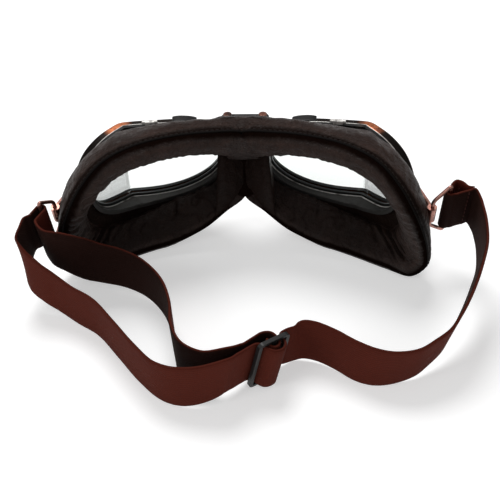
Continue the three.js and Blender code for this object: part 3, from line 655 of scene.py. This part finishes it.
# ---------- Mask: padding and outer leather ----------
# The three lists give a value at each place: the roll's height and squareness, and the panel's bulge
INDEX = list(range(PLACES + 1))
STATIONS, PAD_ACROSS, PANEL_ROWS = 384, 36, 26
ROLL_HEIGHT = [
    6.4, 5.9, 5.6, 5.6, 5.6, 5.6, 5.8, 5.9, 6.0, 6.3, 5.4, 4.2, 3.4, 2.9, 2.1, 1.1, 0.6, 4.5, 6.0, 6.4,
]
ROLL_SQUARE = [2.3] * 8 + [2.4, 2.7, 3.4, 4.2, 4.6, 4.6, 4.4, 4.0, 3.6, 3.0, 2.6, 2.3]
PANEL_FULL = [
    6.5, 5.6, 4.6, 3.8, 3.8, 5.0, 5.4, 4.6, 3.8, 3.2, 3.0, 3.0, 3.0, 3.0, 3.0, 2.5, 2.0, 3.0, 6.5, 6.5,
]
MIDDLE = 4.0  # nearer the middle plane than this, the roll goes over into the flap on the nose
TOP_ROLL_WIDE = 23.5  # width of the roll over the nose, on the middle plane
NOSE_TOP = 72.5
FLAP_HEIGHT = 0.5
LIP = 0.945  # the padding ends here and the cut leather edge goes on to the eye opening
PAD_BACK = [(0.97, -0.9), (0.6, -2.0), (0.12, -1.4), (0.02, -0.95)]  # share of the width, height
PAD_FLOOR, PANEL_FLOOR = 0.35, 0.15  # least heights above the table
PAD_SEED, PANEL_SEED = {"left": 8.7, "right": 3.1}, {"left": 30.9, "right": 21.3}
# Stretches of places, each as its start, rise, end and fall
TEMPLE = (4.6, 1.2, 9.6, 0.8)  # creased most
CHEEK_SHADE = (10, 1.2, 18.4, 1.0)  # painted shade on the cheeks, which face away from the light
TORN = (10.4, 0.8, 16.0, 0.8)  # a ragged cut edge
TEMPLE_CREASED = {"left": 1.0, "right": 0.45}
CUT_FROM = 0.9  # share of the width where the cut edge starts
CALM = 6.0  # the leather is calm up to this far from the middle plane
GROOVE_WIDE, GROOVE_END = 1.9, (14.6, 0.8)  # width of the painted shade in the groove by the seam, and the place where it runs out
DOME_TOP, DOME_FALL, DOME_Y, DOME_LONG = 74.0, 3.0, 27.0, 8.5  # raised leather edge over the nose
PANEL_CLEAR = 0.75  # the outer leather's turned edge stays this far behind the seam
PANEL_HEART = 10.0  # depth behind the glass of the point that the panel bulges away from
EDGE_ROLL = 1.9  # height of the turned edge, which is 2 long
FOLDS = [  # deep folds where the temple roll meets the flat cheek: place, half width, depth, from, to, slant
    (8.7, 0.15, 0.8, 0.35, 0.95, 0.25), (9.15, 0.17, 1.5, 0.30, 1.0, 0.20),
    (9.65, 0.20, 2.0, 0.20, 1.0, 0.12), (10.25, 0.17, 1.4, 0.25, 1.0, 0.05),
    (10.85, 0.13, 0.7, 0.35, 1.0, 0.0), (12.95, 0.07, 0.7, 0.45, 1.0, -0.1),
    (7.6, 0.12, 0.7, 0.25, 0.95, -0.2), (6.7, 0.10, 0.5, 0.15, 0.85, -0.15),
]


def seam_at(u, curve=seam_curve):
    p = curve.at(u % 1)
    p[0] = max(p[0], MID)
    return p


def eye_at(u):
    return eye_curve.at(u % 1)


def pad_out(u, step=0.01):
    along = eye_at(u + step) - eye_at(u - step) + seam_at(u + step) - seam_at(u - step)
    out = unit(np.cross(along, eye_at(u) - seam_at(u)))
    return -out if out.dot(WEARER) < 0 else out


def round_mask(curve):
    """Stations round the mask: share of the round, place, seam point, way so far, nearness to the middle."""
    arc, last = 0.0, seam_at(0, curve)
    for i in range(STATIONS):
        u = i / STATIONS
        here = seam_at(u, curve)
        arc += np.linalg.norm(here - last)
        last = here
        yield u, u * PLACES, here, arc, clamp(1 - here[0] / MIDDLE)


def crown(v, square):
    return math.sqrt(max(0.0, 1 - abs(2 * clamp(v) - 1) ** square))


def fold_depth(place, v, seed):
    """Depth of the deep folds at a place round the ring and a share of the width."""
    depth = 0.0
    for centre, half, deep, start, end, slant in FOLDS:
        wander = 0.12 * ripple(v * 3.1, centre * 5.0, seed)
        off = (place - centre - slant * (v - 0.6) - wander) / half
        if abs(off) < 3:
            run = smooth((v - start) / 0.2) * smooth((end - v) / 0.08 + 0.35)
            depth += deep * run * math.exp(-off * off * 1.6)
    return depth


def pad_relief(q, v, arc, place, temple, seed):
    """How uneven the padding is at a point: its height, and the puckers, crease and folds in that."""
    lumps = 0.7 * wobble(q, 13.0, seed) + 0.42 * wobble(q, 5.5, seed + 2)
    puckers = ripple(arc / 2.0, v * 1.2, seed + 4) * bell(v, 0.3) * (0.3 + 0.4 * temple)
    eye_puckers = ripple(arc / 2.4, v * 1.5, seed + 9) * smooth((v - 0.62) / 0.3) * 0.9
    cross_wrinkle = temple * 1.2 * ripple(arc / 2.8, v * 2.2 + arc / 30, seed + 6)
    ridged = 1 - min(1.0, abs(wobble(q, 6.5, seed + 12)) * 7)
    crease = (0.45 + 0.35 * temple) * ridged * smooth((wobble(q, 17.0, seed + 15) + 0.15) / 0.3)
    folds = fold_depth(place, v, seed)
    return lumps + puckers + eye_puckers + cross_wrinkle - crease - folds, puckers, crease, folds


def face_pad(word, side):
    seed = PAD_SEED[word]
    points, tones = [], []
    for u, place, start, arc, mid in round_mask(seam_curve):
        eye, out = eye_at(u), pad_out(u)
        height = np.interp(place, INDEX, ROLL_HEIGHT)
        square = np.interp(place, INDEX, ROLL_SQUARE)
        below = NOSE_TOP - start[2]
        begin = mid * (clamp(below / TOP_ROLL_WIDE) if below > 0.1 else 0.0)
        wide = eye - start
        length = np.linalg.norm(wide)
        temple, cheek_shade = between(place, *TEMPLE) * TEMPLE_CREASED[word], between(place, *CHEEK_SHADE)
        torn = 1 + 1.3 * between(place, *TORN)
        ragged = torn * 0.4 * ripple(arc / 2.6, seed, 0) + torn * 0.3 * ripple(arc / 1.1, seed, 5)
        in_groove = (1 - mid * (begin > 0.05)) * (
            1 - smooth((place - GROOVE_END[0]) / GROOVE_END[1]) * (place < 18)
        )
        for j in range(PAD_ACROSS):
            # the points lie closer together near the seam and the eye opening
            v = 0.5 - 0.5 * math.cos(math.pi * (j / (PAD_ACROSS - 1)) ** 0.95)
            v = 0.7 * v + 0.3 * j / (PAD_ACROSS - 1)
            slow = v ** (1 + mid)
            p = start + wide * np.array([v, slow, slow])
            n = out.copy()
            n[0] *= 1 - mid * (1 - min(1.0, v * 2.2))
            n = unit(n)
            along = begin + (1 - begin) * slow
            roll = min(along / LIP, 1.0)
            inner = min(slow / LIP, 1)
            flap = mid * FLAP_HEIGHT * crown(0.5 + 0.5 * inner, 3.0) * smooth((begin - 0.75) / 0.25)
            soft = crown(inner if mid < 0.5 else 0.5 + 0.5 * inner, 2.2)
            q = p + n * (height * crown(roll, square))
            relief, puckers, crease, folds = pad_relief(q, v, arc, place, temple, seed)
            depth = relief * min(1.0, soft * 1.3) * (0.12 + 0.88 * smooth(p[0] / CALM))
            q = q + n * (flap + depth + 0.25 * smooth((v - CUT_FROM) / 0.05))
            q = q + wide / length * ragged * smooth((v - CUT_FROM) / 0.1)
            q[0] = 0.0 if j == 0 and mid > 0.97 else max(q[0], 0.0)
            q[2] = max(q[2], PAD_FLOOR)
            points.append(q)
            from_seam = roll * length
            # painted shade in the groove by the seam, with a painted highlight just beside it
            groove_shade = (bell(from_seam, GROOVE_WIDE) - 0.3 * bell(from_seam - 3.2, 1.2)) * in_groove
            # painted shade on the nose flap and along a crease line at its top
            nose_flap_shade = mid * smooth((begin - 0.86) / 0.14)
            flap_top_shade = mid * bell(along - 0.97, 0.06) * (begin > 0.5)
            # painted shade in folds and creases, added to the rest
            dark = groove_shade + 0.25 * min(folds, 2) + 0.5 * crease + 0.5 * nose_flap_shade + 0.3 * flap_top_shade
            # painted light on the raised side of puckers, and painted shade on the cheeks
            tones.append(max(0.06, 1 - dark + 0.3 * puckers - 0.45 * cheek_shade))
        for share, high in PAD_BACK:
            q = start + wide * share + out * high
            q[0] = max(q[0], 0.0)
            q[2] = max(q[2], 0.3)
            points.append(q)
            # the hidden back of the padding gets painted shade
            tones.append(0.3)
    count = PAD_ACROSS + len(PAD_BACK)
    return half_mask("face_cushion_" + word, side, points, tones, "pad", count, count - 1, seam_curve)


def half_mask(name, side, points, tones, look, count, edge_row, curve):
    """One half of the mask's leather; faces that would lie in the middle plane are left out."""
    on_plane = [seam_at(i / STATIONS, curve)[0] < 1e-4 for i in range(STATIONS)]

    def inside_plane(i, j):
        return j == edge_row and on_plane[i] and on_plane[(i + 1) % STATIONS]

    points = [mirrored(p, side) for p in points]
    faces = grid_faces(STATIONS, count, True, True, inside_plane)
    made = new_object(name, points, faces, LOOK[look], painted_light=tones)
    faces_outward(made)
    level_middle(made)
    return made


def level_middle(made):
    """Points on the middle plane get a normal within it, so that the two halves shade as one."""
    mesh = made.data
    middle = to_row([MID, 0, 0])[0]
    normals = []
    for v in mesh.vertices:
        n = v.normal.copy()
        if abs(v.co.x - middle) < 2e-5:
            n.x = 0
            n.normalize()
        normals.append(n)
    mesh.normals_split_custom_set_from_vertices(normals)


def panel_out(u, start, end, step=0.01):
    along = seam_at(u + step, panel_curve) - seam_at(u - step, panel_curve)
    out = unit(np.cross(along, end - start))
    return -out if out.dot(start - on_frame(1, RIDGE_S * 0.8, -PANEL_HEART, 41)) < 0 else out


def outer_panel(word, side):
    seed = PANEL_SEED[word]
    points, tones = [], []
    for u, place, end, arc, mid in round_mask(panel_curve):
        pad_way = pad_out(u)
        s, z = outline_at(u, PANEL_IN + PANEL_LAP)
        first, start = on_frame(1, s, PANEL_FRONT, z), on_frame(1, s, PANEL_LIP, z)
        s, z = outline_at(u, PANEL_IN)
        first_in, start_in = on_frame(1, s, PANEL_FRONT, z), on_frame(1, s, PANEL_LIP, z)
        out = panel_out(u, start, end)
        facing = max(0.0, -out.dot(pad_way))
        tail = end - pad_way * (PANEL_CLEAR + LEATHER * facing) * (1 - mid)
        full = np.interp(place, INDEX, PANEL_FULL)
        near_nose = smooth(1 - end[0] / 9.0)
        length = np.linalg.norm(tail - start)
        low = clamp((CHEEK_TOP - end[2]) / CHEEK_FADE)
        outer, inner = [first], [first_in]
        # painted shade at the panel's front edge
        tones.append(0.6)
        for k in range(PANEL_ROWS):
            share = k / (PANEL_ROWS - 1)
            share = 0.6 * share + 0.4 * (0.5 - 0.5 * math.cos(math.pi * share))
            hump = 4 * share * (1 - share)
            slow = 1 - (1 - share) ** (1 + mid)
            way = out.copy()
            way[0] *= 1 - mid * smooth(share)
            p = start + (tail - start) * np.array([share, slow, slow]) + way * hump * full
            p[2] -= hump * CHEEK_SAG * low * max(0.0, -out[2])
            near_end = max(0.0, 1 - (1 - share) * length / 2.0) * (1 - mid)
            roll = EDGE_ROLL * (1 - math.sqrt(max(0.0, 1 - near_end * near_end)))
            free = min(1.0, hump * 1.6)
            wrinkle = 0.7 * wobble(p, 15.0, seed) + 0.4 * wobble(p, 6.0, seed + 3)
            pucker = 0.3 * ripple(arc / 2.1, share, seed + 5) * bell(1 - share, 0.3)
            gather = 0.5 * ripple(arc / 2.6, share, seed + 7) * bell(share, 0.3)
            ridged = 1 - min(1.0, abs(wobble(p, 8.0, seed + 11)) * 6)
            crease = 0.4 * ridged * smooth((wobble(p, 19.0, seed + 14) + 0.1) / 0.3) * (1 - near_nose)
            depth = (wrinkle - crease) * free + pucker * (1 - near_end) + gather * min(1, share * 8)
            depth *= 1 - 0.85 * near_nose
            q = p + way * depth - out * roll
            q[0] = max(q[0], 0.0)
            dome = DOME_TOP - DOME_FALL * ((q[1] - DOME_Y) / DOME_LONG) ** 2
            over_nose = smooth((17 - q[0]) / 7) * between(q[1], 20, 2, 39, 3)
            q[2] += over_nose * max(0.0, dome - q[2])
            q[2] = max(q[2], PANEL_FLOOR)
            outer.append(q)
            r = p - out * (LEATHER * min(1.0, 0.35 + share * 3) + roll * 0.3) if k else start_in
            r[0] = max(r[0], 0.0)
            r[2] = max(r[2], PANEL_FLOOR + LEATHER)
            inner.append(r)
            # painted highlight beside the turned edge
            edge_light = 0.3 * bell((1 - share) * length - 2.6, 1.1) * (1 - mid)
            # painted shade where the edge rolls into the groove and in creases, painted light on puckers
            painted_light = 1.05 + edge_light - smooth(near_end * 1.4) - 0.4 * crease + 0.2 * pucker
            tones.append(max(0.25, painted_light))
        # painted shade on the panel's inner side
        tones += [0.4] * len(inner)
        points += outer + inner[::-1]
    count = 2 * (PANEL_ROWS + 1)
    return half_mask("outer_panel_" + word, side, points, tones, "panel", count, PANEL_ROWS, panel_curve)


BLEND_HALF = 11.0  # half width of the stretch at the bridge; blend_half works out its ends there, then only bakes the transform
# Rings of a stitch: share of its half length, thickness, lift
STITCH = [(-1, 0.25, -0.35), (-0.8, 0.8, 0), (-0.3, 1, 0.22), (0.3, 1, 0.22), (0.8, 0.8, 0), (1, 0.25, -0.35)]
STITCH_SIDES = 6
SEAM_PITCH, SEAM_STITCH = 2.4, 1.7
LAST_STITCH = 10.8  # place where the seam turns under the cheek


def blend_half(made, word, side):
    start = to_row([0, 40, 45])
    end = to_row([side * BLEND_HALF, 40, 45])
    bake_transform(made)


def stitch_mesh(name, runs, radius, look):
    """Short threads lying in a surface. Each run is a stitch's two ends and the way up out of the surface."""
    points, faces = [], []
    for a, b, up in runs:
        middle = (a + b) / 2
        t = unit(b - a)
        half = np.linalg.norm(b - a) / 2
        up = unit(up - t * t.dot(up))
        cross = np.cross(t, up)
        base = len(points)
        for along, thick, lift in STITCH:
            centre = middle + t * along * half + up * lift * radius * 2
            for k in range(STITCH_SIDES):
                turn = 2 * math.pi * k / STITCH_SIDES
                points.append(centre + radius * thick * (math.cos(turn) * up + math.sin(turn) * cross))
        rings = grid_faces(len(STITCH), STITCH_SIDES, False, True)
        faces += [(base + a, base + b, base + c, base + d) for a, b, c, d in rings]
        faces.append(tuple(range(base + STITCH_SIDES - 1, base - 1, -1)))
        faces.append(tuple(range(len(points) - STITCH_SIDES, len(points))))
    return new_object(name, points, faces, LOOK[look])


def seam_welt(word, side):
    """The turned edge in the groove between padding and outer leather, near-black as painted shadow of the
    groove.
    """
    steps = 300
    line = [seam_at(u) + pad_out(u) * 0.15 for u in np.linspace(0.0, LAST_STITCH / PLACES, steps)]
    return tube("seam_welt_" + word, [mirrored(p, side) for p in line], 0.5, LOOK["welt_shadow"])


def seam_stitches(word, side):
    steps = 2400
    line = [seam_at(i / steps) - pad_out(i / steps) for i in range(steps)]
    gaps = [np.linalg.norm(b - a) for a, b in zip(line, line[1:])]
    runs, travelled = [], 0.0
    for i in range(1, steps):
        travelled += gaps[i - 1]
        if travelled >= SEAM_PITCH and line[i][0] > 1.5 and 12 < i < steps * LAST_STITCH / PLACES:
            travelled = 0.0
            back, run = i, 0.0
            while run < SEAM_STITCH and back > 0:
                back -= 1
                run += gaps[back]
            u = i / steps
            away = unit(seam_at(u) - eye_at(u)) * 0.1
            runs.append([mirrored(p, side) for p in (line[back] + away, line[i] + away, pad_out(u))])
    return stitch_mesh("seam_stitches_" + word, runs, 0.2, "thread")


for word, side in SIDES:
    cushion = face_pad(word, side)
    pieces = [
        (cushion, "pad_leather", ["face_pad_" + word]),
        (outer_panel(word, side), "outer_leather", ["outer_leather_" + word]),
        (seam_stitches(word, side), "outer_leather", []),
        (seam_welt(word, side), "outer_leather", []),
    ]
    for made, slot, nodes in pieces:
        finish_piece(made, None, slot, *nodes)
        blend_half(made, word, side)


# ---------- Strap ----------
slider_up = unit(SLIDER_UP)
slider_dir = unit(SLIDER_RUN - slider_up * slider_up.dot(SLIDER_RUN))
slider_out = np.cross(slider_dir, slider_up)
UP = np.array([0, 0, 1.0])
LEAN = np.array([0, math.sin(ARM_LEAN), math.cos(ARM_LEAN)])
LEG_OFF = EYE_R + STRAP_T / 2


def at_slider(along, out, up=0.0):
    return SLIDER + slider_dir * along + slider_out * out + slider_up * up


def fold_at(side, angle, turn, out, across):
    c, s = math.cos(side * turn), math.sin(side * turn)
    return at_pivot(side, angle, 0, BAIL_REACH + out * c - across * s, out * s + across * c)


def left_fold(out, across):
    return fold_at(-1, BAIL_ANGLE["left"], 0, out, across)


def right_fold(out, across):
    return fold_at(1, BAIL_ANGLE["right"], SEWN_TURN, out, across)


def left_leg(out, across):
    return left_fold(LOOP_LEG + out, across * LEG_OFF)


def right_leg(out):
    return right_fold(SEWN_LEG + EYE_R + STRAP_T + out, 0)


def run_of(points, across):
    """Route points paired with the direction of the strap's width at each."""
    wide = Curve(across)
    last = len(points) - 1
    return [(np.asarray(p, float), unit(wide.at(i / last))) for i, p in enumerate(points)]


def routed(*points):
    return [at_slider(a, o) for a, o in points]


outer_run = run_of(
    [left_leg(0.5, -1), left_leg(3, -1.6), (-103, -18.5, 34.5), (-104, -24, 30), (-101, -28.5, 25),
     (-95, -31.5, 20), (-88, -34, 16), (-79, -39, STRAP_Z), (-67.5, -47, STRAP_Z),
     (-55, -61.6, STRAP_Z), (-44, -75, STRAP_Z), (-33.6, -85, STRAP_Z), (-24, -88.8, 13.4),
     (-14, -89.3, 15.4)] + routed((-22, -1.8), (-17.4, -2.2)),
    [LEAN, LEAN, UP, UP, UP, UP, UP, UP, SLIDER_UP, SLIDER_UP],
)
inner_run = run_of(
    [left_leg(0.5, 1), left_leg(2, 1.1), (-92, -20.5, 33.5), (-85, -21, 30.5), (-77.5, -20.5, 26.5),
     (-69.7, -18.8, 21.8), (-58, -18.2, 17.5), (-47.5, -22.2, 14.8), (-37.5, -33, 13.2),
     (-31.5, -48, STRAP_Z), (-29, -62, STRAP_Z), (-24, -74, 13.4), (-14, -81, 15)]
    + routed((-18.4, -6.6), (-12.8, -5.6)),
    [LEAN, LEAN, UP, UP, UP, UP, UP, SLIDER_UP, SLIDER_UP],
)
weave_run = run_of(
    routed((-16.4, -2.2), (-11, -2.7), (-7.4, -2.7), (-5.3, -1.1), (-4.2, 2), (-2.6, 4.2), (0, 5), (2.6, 4.6),
           (4.5, 2.7), (5.1, 0), (5.8, -2.2), (8.6, -2.9), (12, -2.6)),
    [SLIDER_UP, SLIDER_UP],
)
end_run = run_of(
    routed((-12, -5.5), (-6, -6.2), (-1, -6.6), (2.4, -4.8), (3.1, -2), (2.6, 0.8), (1, 2.5), (-1, 2.5),
           (-2.5, 0.8), (-2.6, -1.2), (-1.2, -2.6)),
    [SLIDER_UP, SLIDER_UP],
)
right_run = run_of(
    routed((13, -2.3), (16.5, -2.1))
    + [(29.5, -61.2, 13.9), (35.5, -62.3, 13.9), (43, -66, 13.4), (53.4, -73, 12.8), (61.2, -76, 12.6),
       (69, -76.3, 12.6), (79, -74.1, 13.8), (86, -69.7, 15.8), (92, -65, 18), (96, -60, 21),
       (100, -54, 24), (104, -46.7, 27), (109, -35, 29.5), (112.5, -25, 32), (114, -13, 34.5),
       (114, -5.5, 35.6), (113.4, 1.2, 36.6), right_leg(1.8)],
    [SLIDER_UP, UP, UP, (0, -0.25, 0.96), (0.07, -0.33, 0.94), (0.05, -0.3, 0.95), LEAN, LEAN],
)
fold_arc = np.linspace(0, math.pi, 9)[1:-1]
fold_half = [(4.4, 1), (2.5, 1), (0, 1)]
fold_places = fold_half + [(-LEG_OFF * math.sin(a), math.cos(a)) for a in fold_arc]
fold_places += [(out, -across) for out, across in fold_half[::-1]]
fold_run = [(left_fold(out, across * LEG_OFF), LEAN) for out, across in fold_places]
LAYER = STRAP_T / 2 + 0.05
# the end goes round the wire, comes back slack on the far side and is sewn down
sewn_turns = np.radians(np.linspace(-60, -285, 8))
sewn_places = [(9.6, -0.5), (7.5, -0.9), (5.0, -1.3), (2.6, -2.0)]
sewn_places += [(LEG_OFF * math.cos(turn), LEG_OFF * math.sin(turn)) for turn in sewn_turns]
sewn_places += [(2.2, 4.6), (4.6, 6.4), (7.2, 5.0), (9.2, 1.9), (11.8, 0.95)]
sewn_run = [(right_fold(out, across), LEAN) for out, across in sewn_places]

groups = [end_run[::-1], inner_run[::-1], fold_run, outer_run, weave_run, right_run, sewn_run]
controls = [place for group in groups for place in group]
group_start = np.cumsum([0] + [len(g) for g in groups])
strap_line = Curve([p for p, _ in controls])


def strap_frames():
    """Places all along the strap, each with its point, width direction and way out of its right side."""
    spans = len(controls) - 1
    stations = []
    for k in range(spans):
        gap = np.linalg.norm(controls[k + 1][0] - controls[k][0])
        count = max(3, int(math.ceil(gap / 0.9)))
        stations += [(k + j / count) for j in range(count)]
    stations.append(float(spans))
    points = np.array([strap_line.at(x / spans) for x in stations])
    lengths = np.concatenate([[0], np.cumsum(np.linalg.norm(np.diff(points, axis=0), axis=1))])
    wides = []
    for x in stations:
        k = min(int(x), spans - 1)
        wides.append(controls[k][1] * (1 - (x - k)) + controls[k + 1][1] * (x - k))
    wides = np.array(wides)
    frames = []
    for i in range(len(stations)):
        t = unit(points[min(i + 1, len(points) - 1)] - points[max(i - 1, 0)])
        nearby = np.exp(-(((lengths - lengths[i]) / 4.0) ** 2))
        w = unit((wides * nearby[:, None]).sum(axis=0))
        out = unit(np.cross(t, w))
        frames.append((points[i], unit(w * 0.7 + np.cross(out, t) * 0.3), out))
    return np.array(stations), lengths, frames


stations, lengths, strap_at = strap_frames()
# Section of the webbing: across, up from its middle, painted light: 1 on the lit right side, 0 on the side
# painted as shade, blending between them on the edges
RIGHT_SIDE = [(b, 0.7, 1.0) for b in np.linspace(-11.9, 11.9, 11)]
EDGE = [(12.38, 0.42, 0.9), (12.5, 0.0, 0.85), (12.38, -0.42, 0.5)]
SECTION = RIGHT_SIDE + EDGE + [(-b, -c, 0.0) for b, c, _ in RIGHT_SIDE]
SECTION += [(-b, -c, 1.4 - painted_light) for b, c, painted_light in EDGE]


def strap_piece(name, start, end, *nodes):
    """A stretch of the strap between two lengths along it."""
    inside = [i for i, s in enumerate(lengths) if start + 0.15 < s < end - 0.15]
    cuts = [start] + [lengths[i] for i in inside] + [end]
    points, uv, tones = [], [], []
    for s in cuts:
        i = min(max(int(np.searchsorted(lengths, s, side="right")) - 1, 0), len(lengths) - 2)
        share = (s - lengths[i]) / max(lengths[i + 1] - lengths[i], 1e-9)
        p, w, n = (a * (1 - share) + b * share for a, b in zip(strap_at[i], strap_at[i + 1]))
        w, n = unit(w), unit(n)
        for b, c, painted_light in SECTION:
            worn = 0.12 * ripple(s / 3.1, b / 30, 1.7) if abs(b) > 12 else 0
            points.append(p + w * (b + math.copysign(worn, b)) + n * c)
            uv.append((s * MM, b * MM))
            tones.append(painted_light)
    rows, count = len(cuts), len(SECTION)
    faces = grid_faces(rows, count, False, True)
    faces += [tuple(range(count)), tuple(range((rows - 1) * count, rows * count))]
    made = new_object(name, points, faces, LOOK["strap"], uv=uv, painted_light=tones)
    faces_outward(made)
    for edge in made.data.edges:
        a, b = edge.vertices
        if max(a, b) < count or min(a, b) >= (rows - 1) * count:
            edge.use_edge_sharp = True
    finish_piece(made, None, "strap_elastic", *nodes)
    return made


def length_at(control):
    return float(np.interp(control, stations, lengths))


def strap_bend(made, a, b, start, end):
    """The piece between two lengths: the strap's points at both are worked out and its transform is baked;
    bodies a and b are not used.
    """
    places = [float(np.interp(s, lengths, stations)) / (len(controls) - 1) for s in (start, end)]
    first, last = (to_row(strap_line.at(t)) for t in places)
    Vector(first)
    Vector(last)
    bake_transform(made)


marks = [length_at(g - 0.5) if g else 0.0 for g in group_start[:-1]] + [float(lengths[-1])]
start, inner, fold, outer, weave, right, sewn, last = marks
NEAR, BY_BAIL, BY_EYE = 20.0, 22.0, 55.0
STRETCHES = [  # name, where it ends, its body or its two bodies in order, CAD node
    ("slider_end", inner, "slider_body", "strap_end_slider"),
    ("inner_near", inner + NEAR, "slider_body root", "strap_left_inner"),
    ("inner_middle", fold - BY_BAIL - BY_EYE, "root", ""),
    ("inner_far", fold - BY_BAIL, "root left_eyepiece", ""),
    ("inner_bail", fold, "left_eyepiece left_bail", ""),
    ("fold", outer, "left_bail", "strap_fold_left"),
    ("outer_bail", outer + BY_BAIL, "left_bail left_eyepiece", "strap_left_outer"),
    ("outer_far", outer + BY_BAIL + BY_EYE, "left_eyepiece root", ""),
    ("outer_middle", weave - NEAR, "root", ""),
    ("outer_near", weave, "root slider_body", ""),
    ("through_slider", right, "slider_body", "strap_weave"),
    ("right_near", right + NEAR, "slider_body root", "strap_right_run"),
    ("right_middle", sewn - BY_BAIL - BY_EYE, "root", ""),
    ("right_far", sewn - BY_BAIL, "root right_eyepiece", ""),
    ("right_bail", sewn, "right_eyepiece right_bail", ""),
    ("sewn_end", last, "right_bail", "strap_end_right"),
]
for name, end, bodies, node in STRETCHES:
    made = strap_piece("strap_" + name, start, end, *node.split())
    if " " in bodies:
        strap_bend(made, *bodies.split(), start, end)
    else:
        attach(made, bodies)
    start = end


def sewn_rows():
    """Two rows of stitches across the sewn end, on its right side."""
    runs = []
    off = 2 * LAYER + 0.02
    for out in (4.6, 8.6):
        for up in np.linspace(-11, 11, 9):
            for across in (-off, off):
                a = right_fold(out, across) + LEAN * (up - 0.9)
                b = right_fold(out, across) + LEAN * (up + 0.9)
                runs.append((a, b, (right_fold(out, 10) - right_fold(out, 0)) * math.copysign(1, across)))
    return stitch_mesh("sewn_stitches", runs, 0.28, "strap_thread")


finish_piece(sewn_rows(), "right_bail", "strap_elastic")


# ---------- Floor, light and camera ----------
FLOOR_HALF = 2500  # mm; the places below are in the row frame, in metres
CAMERA_PLACE = (0.0212, -0.301, 0.291)
CAMERA_HIGH, CAMERA_ROLL, CAMERA_YAW = 41, -2.3, -3.8  # degrees
LENS, SENSOR = 60, 36
LAMPS = [  # name, place, aim, width, watts
    ("sky", (-0.12, 0.42, 0.85), (0, 0.0, 0.03), 0.5, 6.6),
    ("fill", (-0.75, -0.55, 0.6), (0, 0, 0.04), 0.5, 2.2),
    ("front", (0.45, -0.8, 0.8), (0, 0, 0.03), 0.6, 1.15),
]
WORLD_LIGHT = 0.26


def floor():
    m = Shade("floor")
    m.set(Base_Color=(0.72, 0.72, 0.72, 1), Roughness=0.9, Specular_IOR_Level=0.0)
    m.set(Emission_Color=(1, 1, 1, 1), Emission_Strength=0.46)
    points = [(x * FLOOR_HALF, y * FLOOR_HALF, 0) for x, y in ((-1, -1), (1, -1), (1, 1), (-1, 1))]
    made = new_object("floor", points, [(0, 1, 2, 3)], m.material, False)


def softbox(name, place, aim, size, power):
    data = bpy.data.lights.new(name, "AREA")
    data.shape = "DISK"
    data.size = size
    data.energy = power
    lamp = in_scene(name, data)
    lamp.location = place
    lamp.rotation_euler = (Vector(aim) - Vector(place)).to_track_quat("-Z", "Y").to_euler()


def camera():
    high, roll, yaw = (math.radians(a) for a in (CAMERA_HIGH, CAMERA_ROLL, CAMERA_YAW))
    view = Vector((math.sin(yaw) * math.cos(high), math.cos(yaw) * math.cos(high), -math.sin(high)))
    right = Vector((math.cos(yaw), -math.sin(yaw), 0))
    up = right.cross(view)
    right, up = right * math.cos(roll) + up * math.sin(roll), up * math.cos(roll) - right * math.sin(roll)
    data = bpy.data.cameras.new("camera")
    data.lens, data.sensor_width = LENS, SENSOR
    eye = in_scene("camera", data)
    turned = Matrix((right, up, -view)).transposed().to_4x4()
    turned.translation = Vector(CAMERA_PLACE)
    eye.matrix_world = turned
    bpy.context.scene.camera = eye


floor()
for lamp in LAMPS:
    softbox(*lamp)
camera()
world = bpy.data.worlds.new("studio")
world.use_nodes = True
background = world.node_tree.nodes["Background"]
background.inputs["Color"].default_value = (1, 1, 1, 1)
background.inputs["Strength"].default_value = WORLD_LIGHT
bpy.context.scene.world = world
bpy.context.scene.view_settings.view_transform = "Standard"
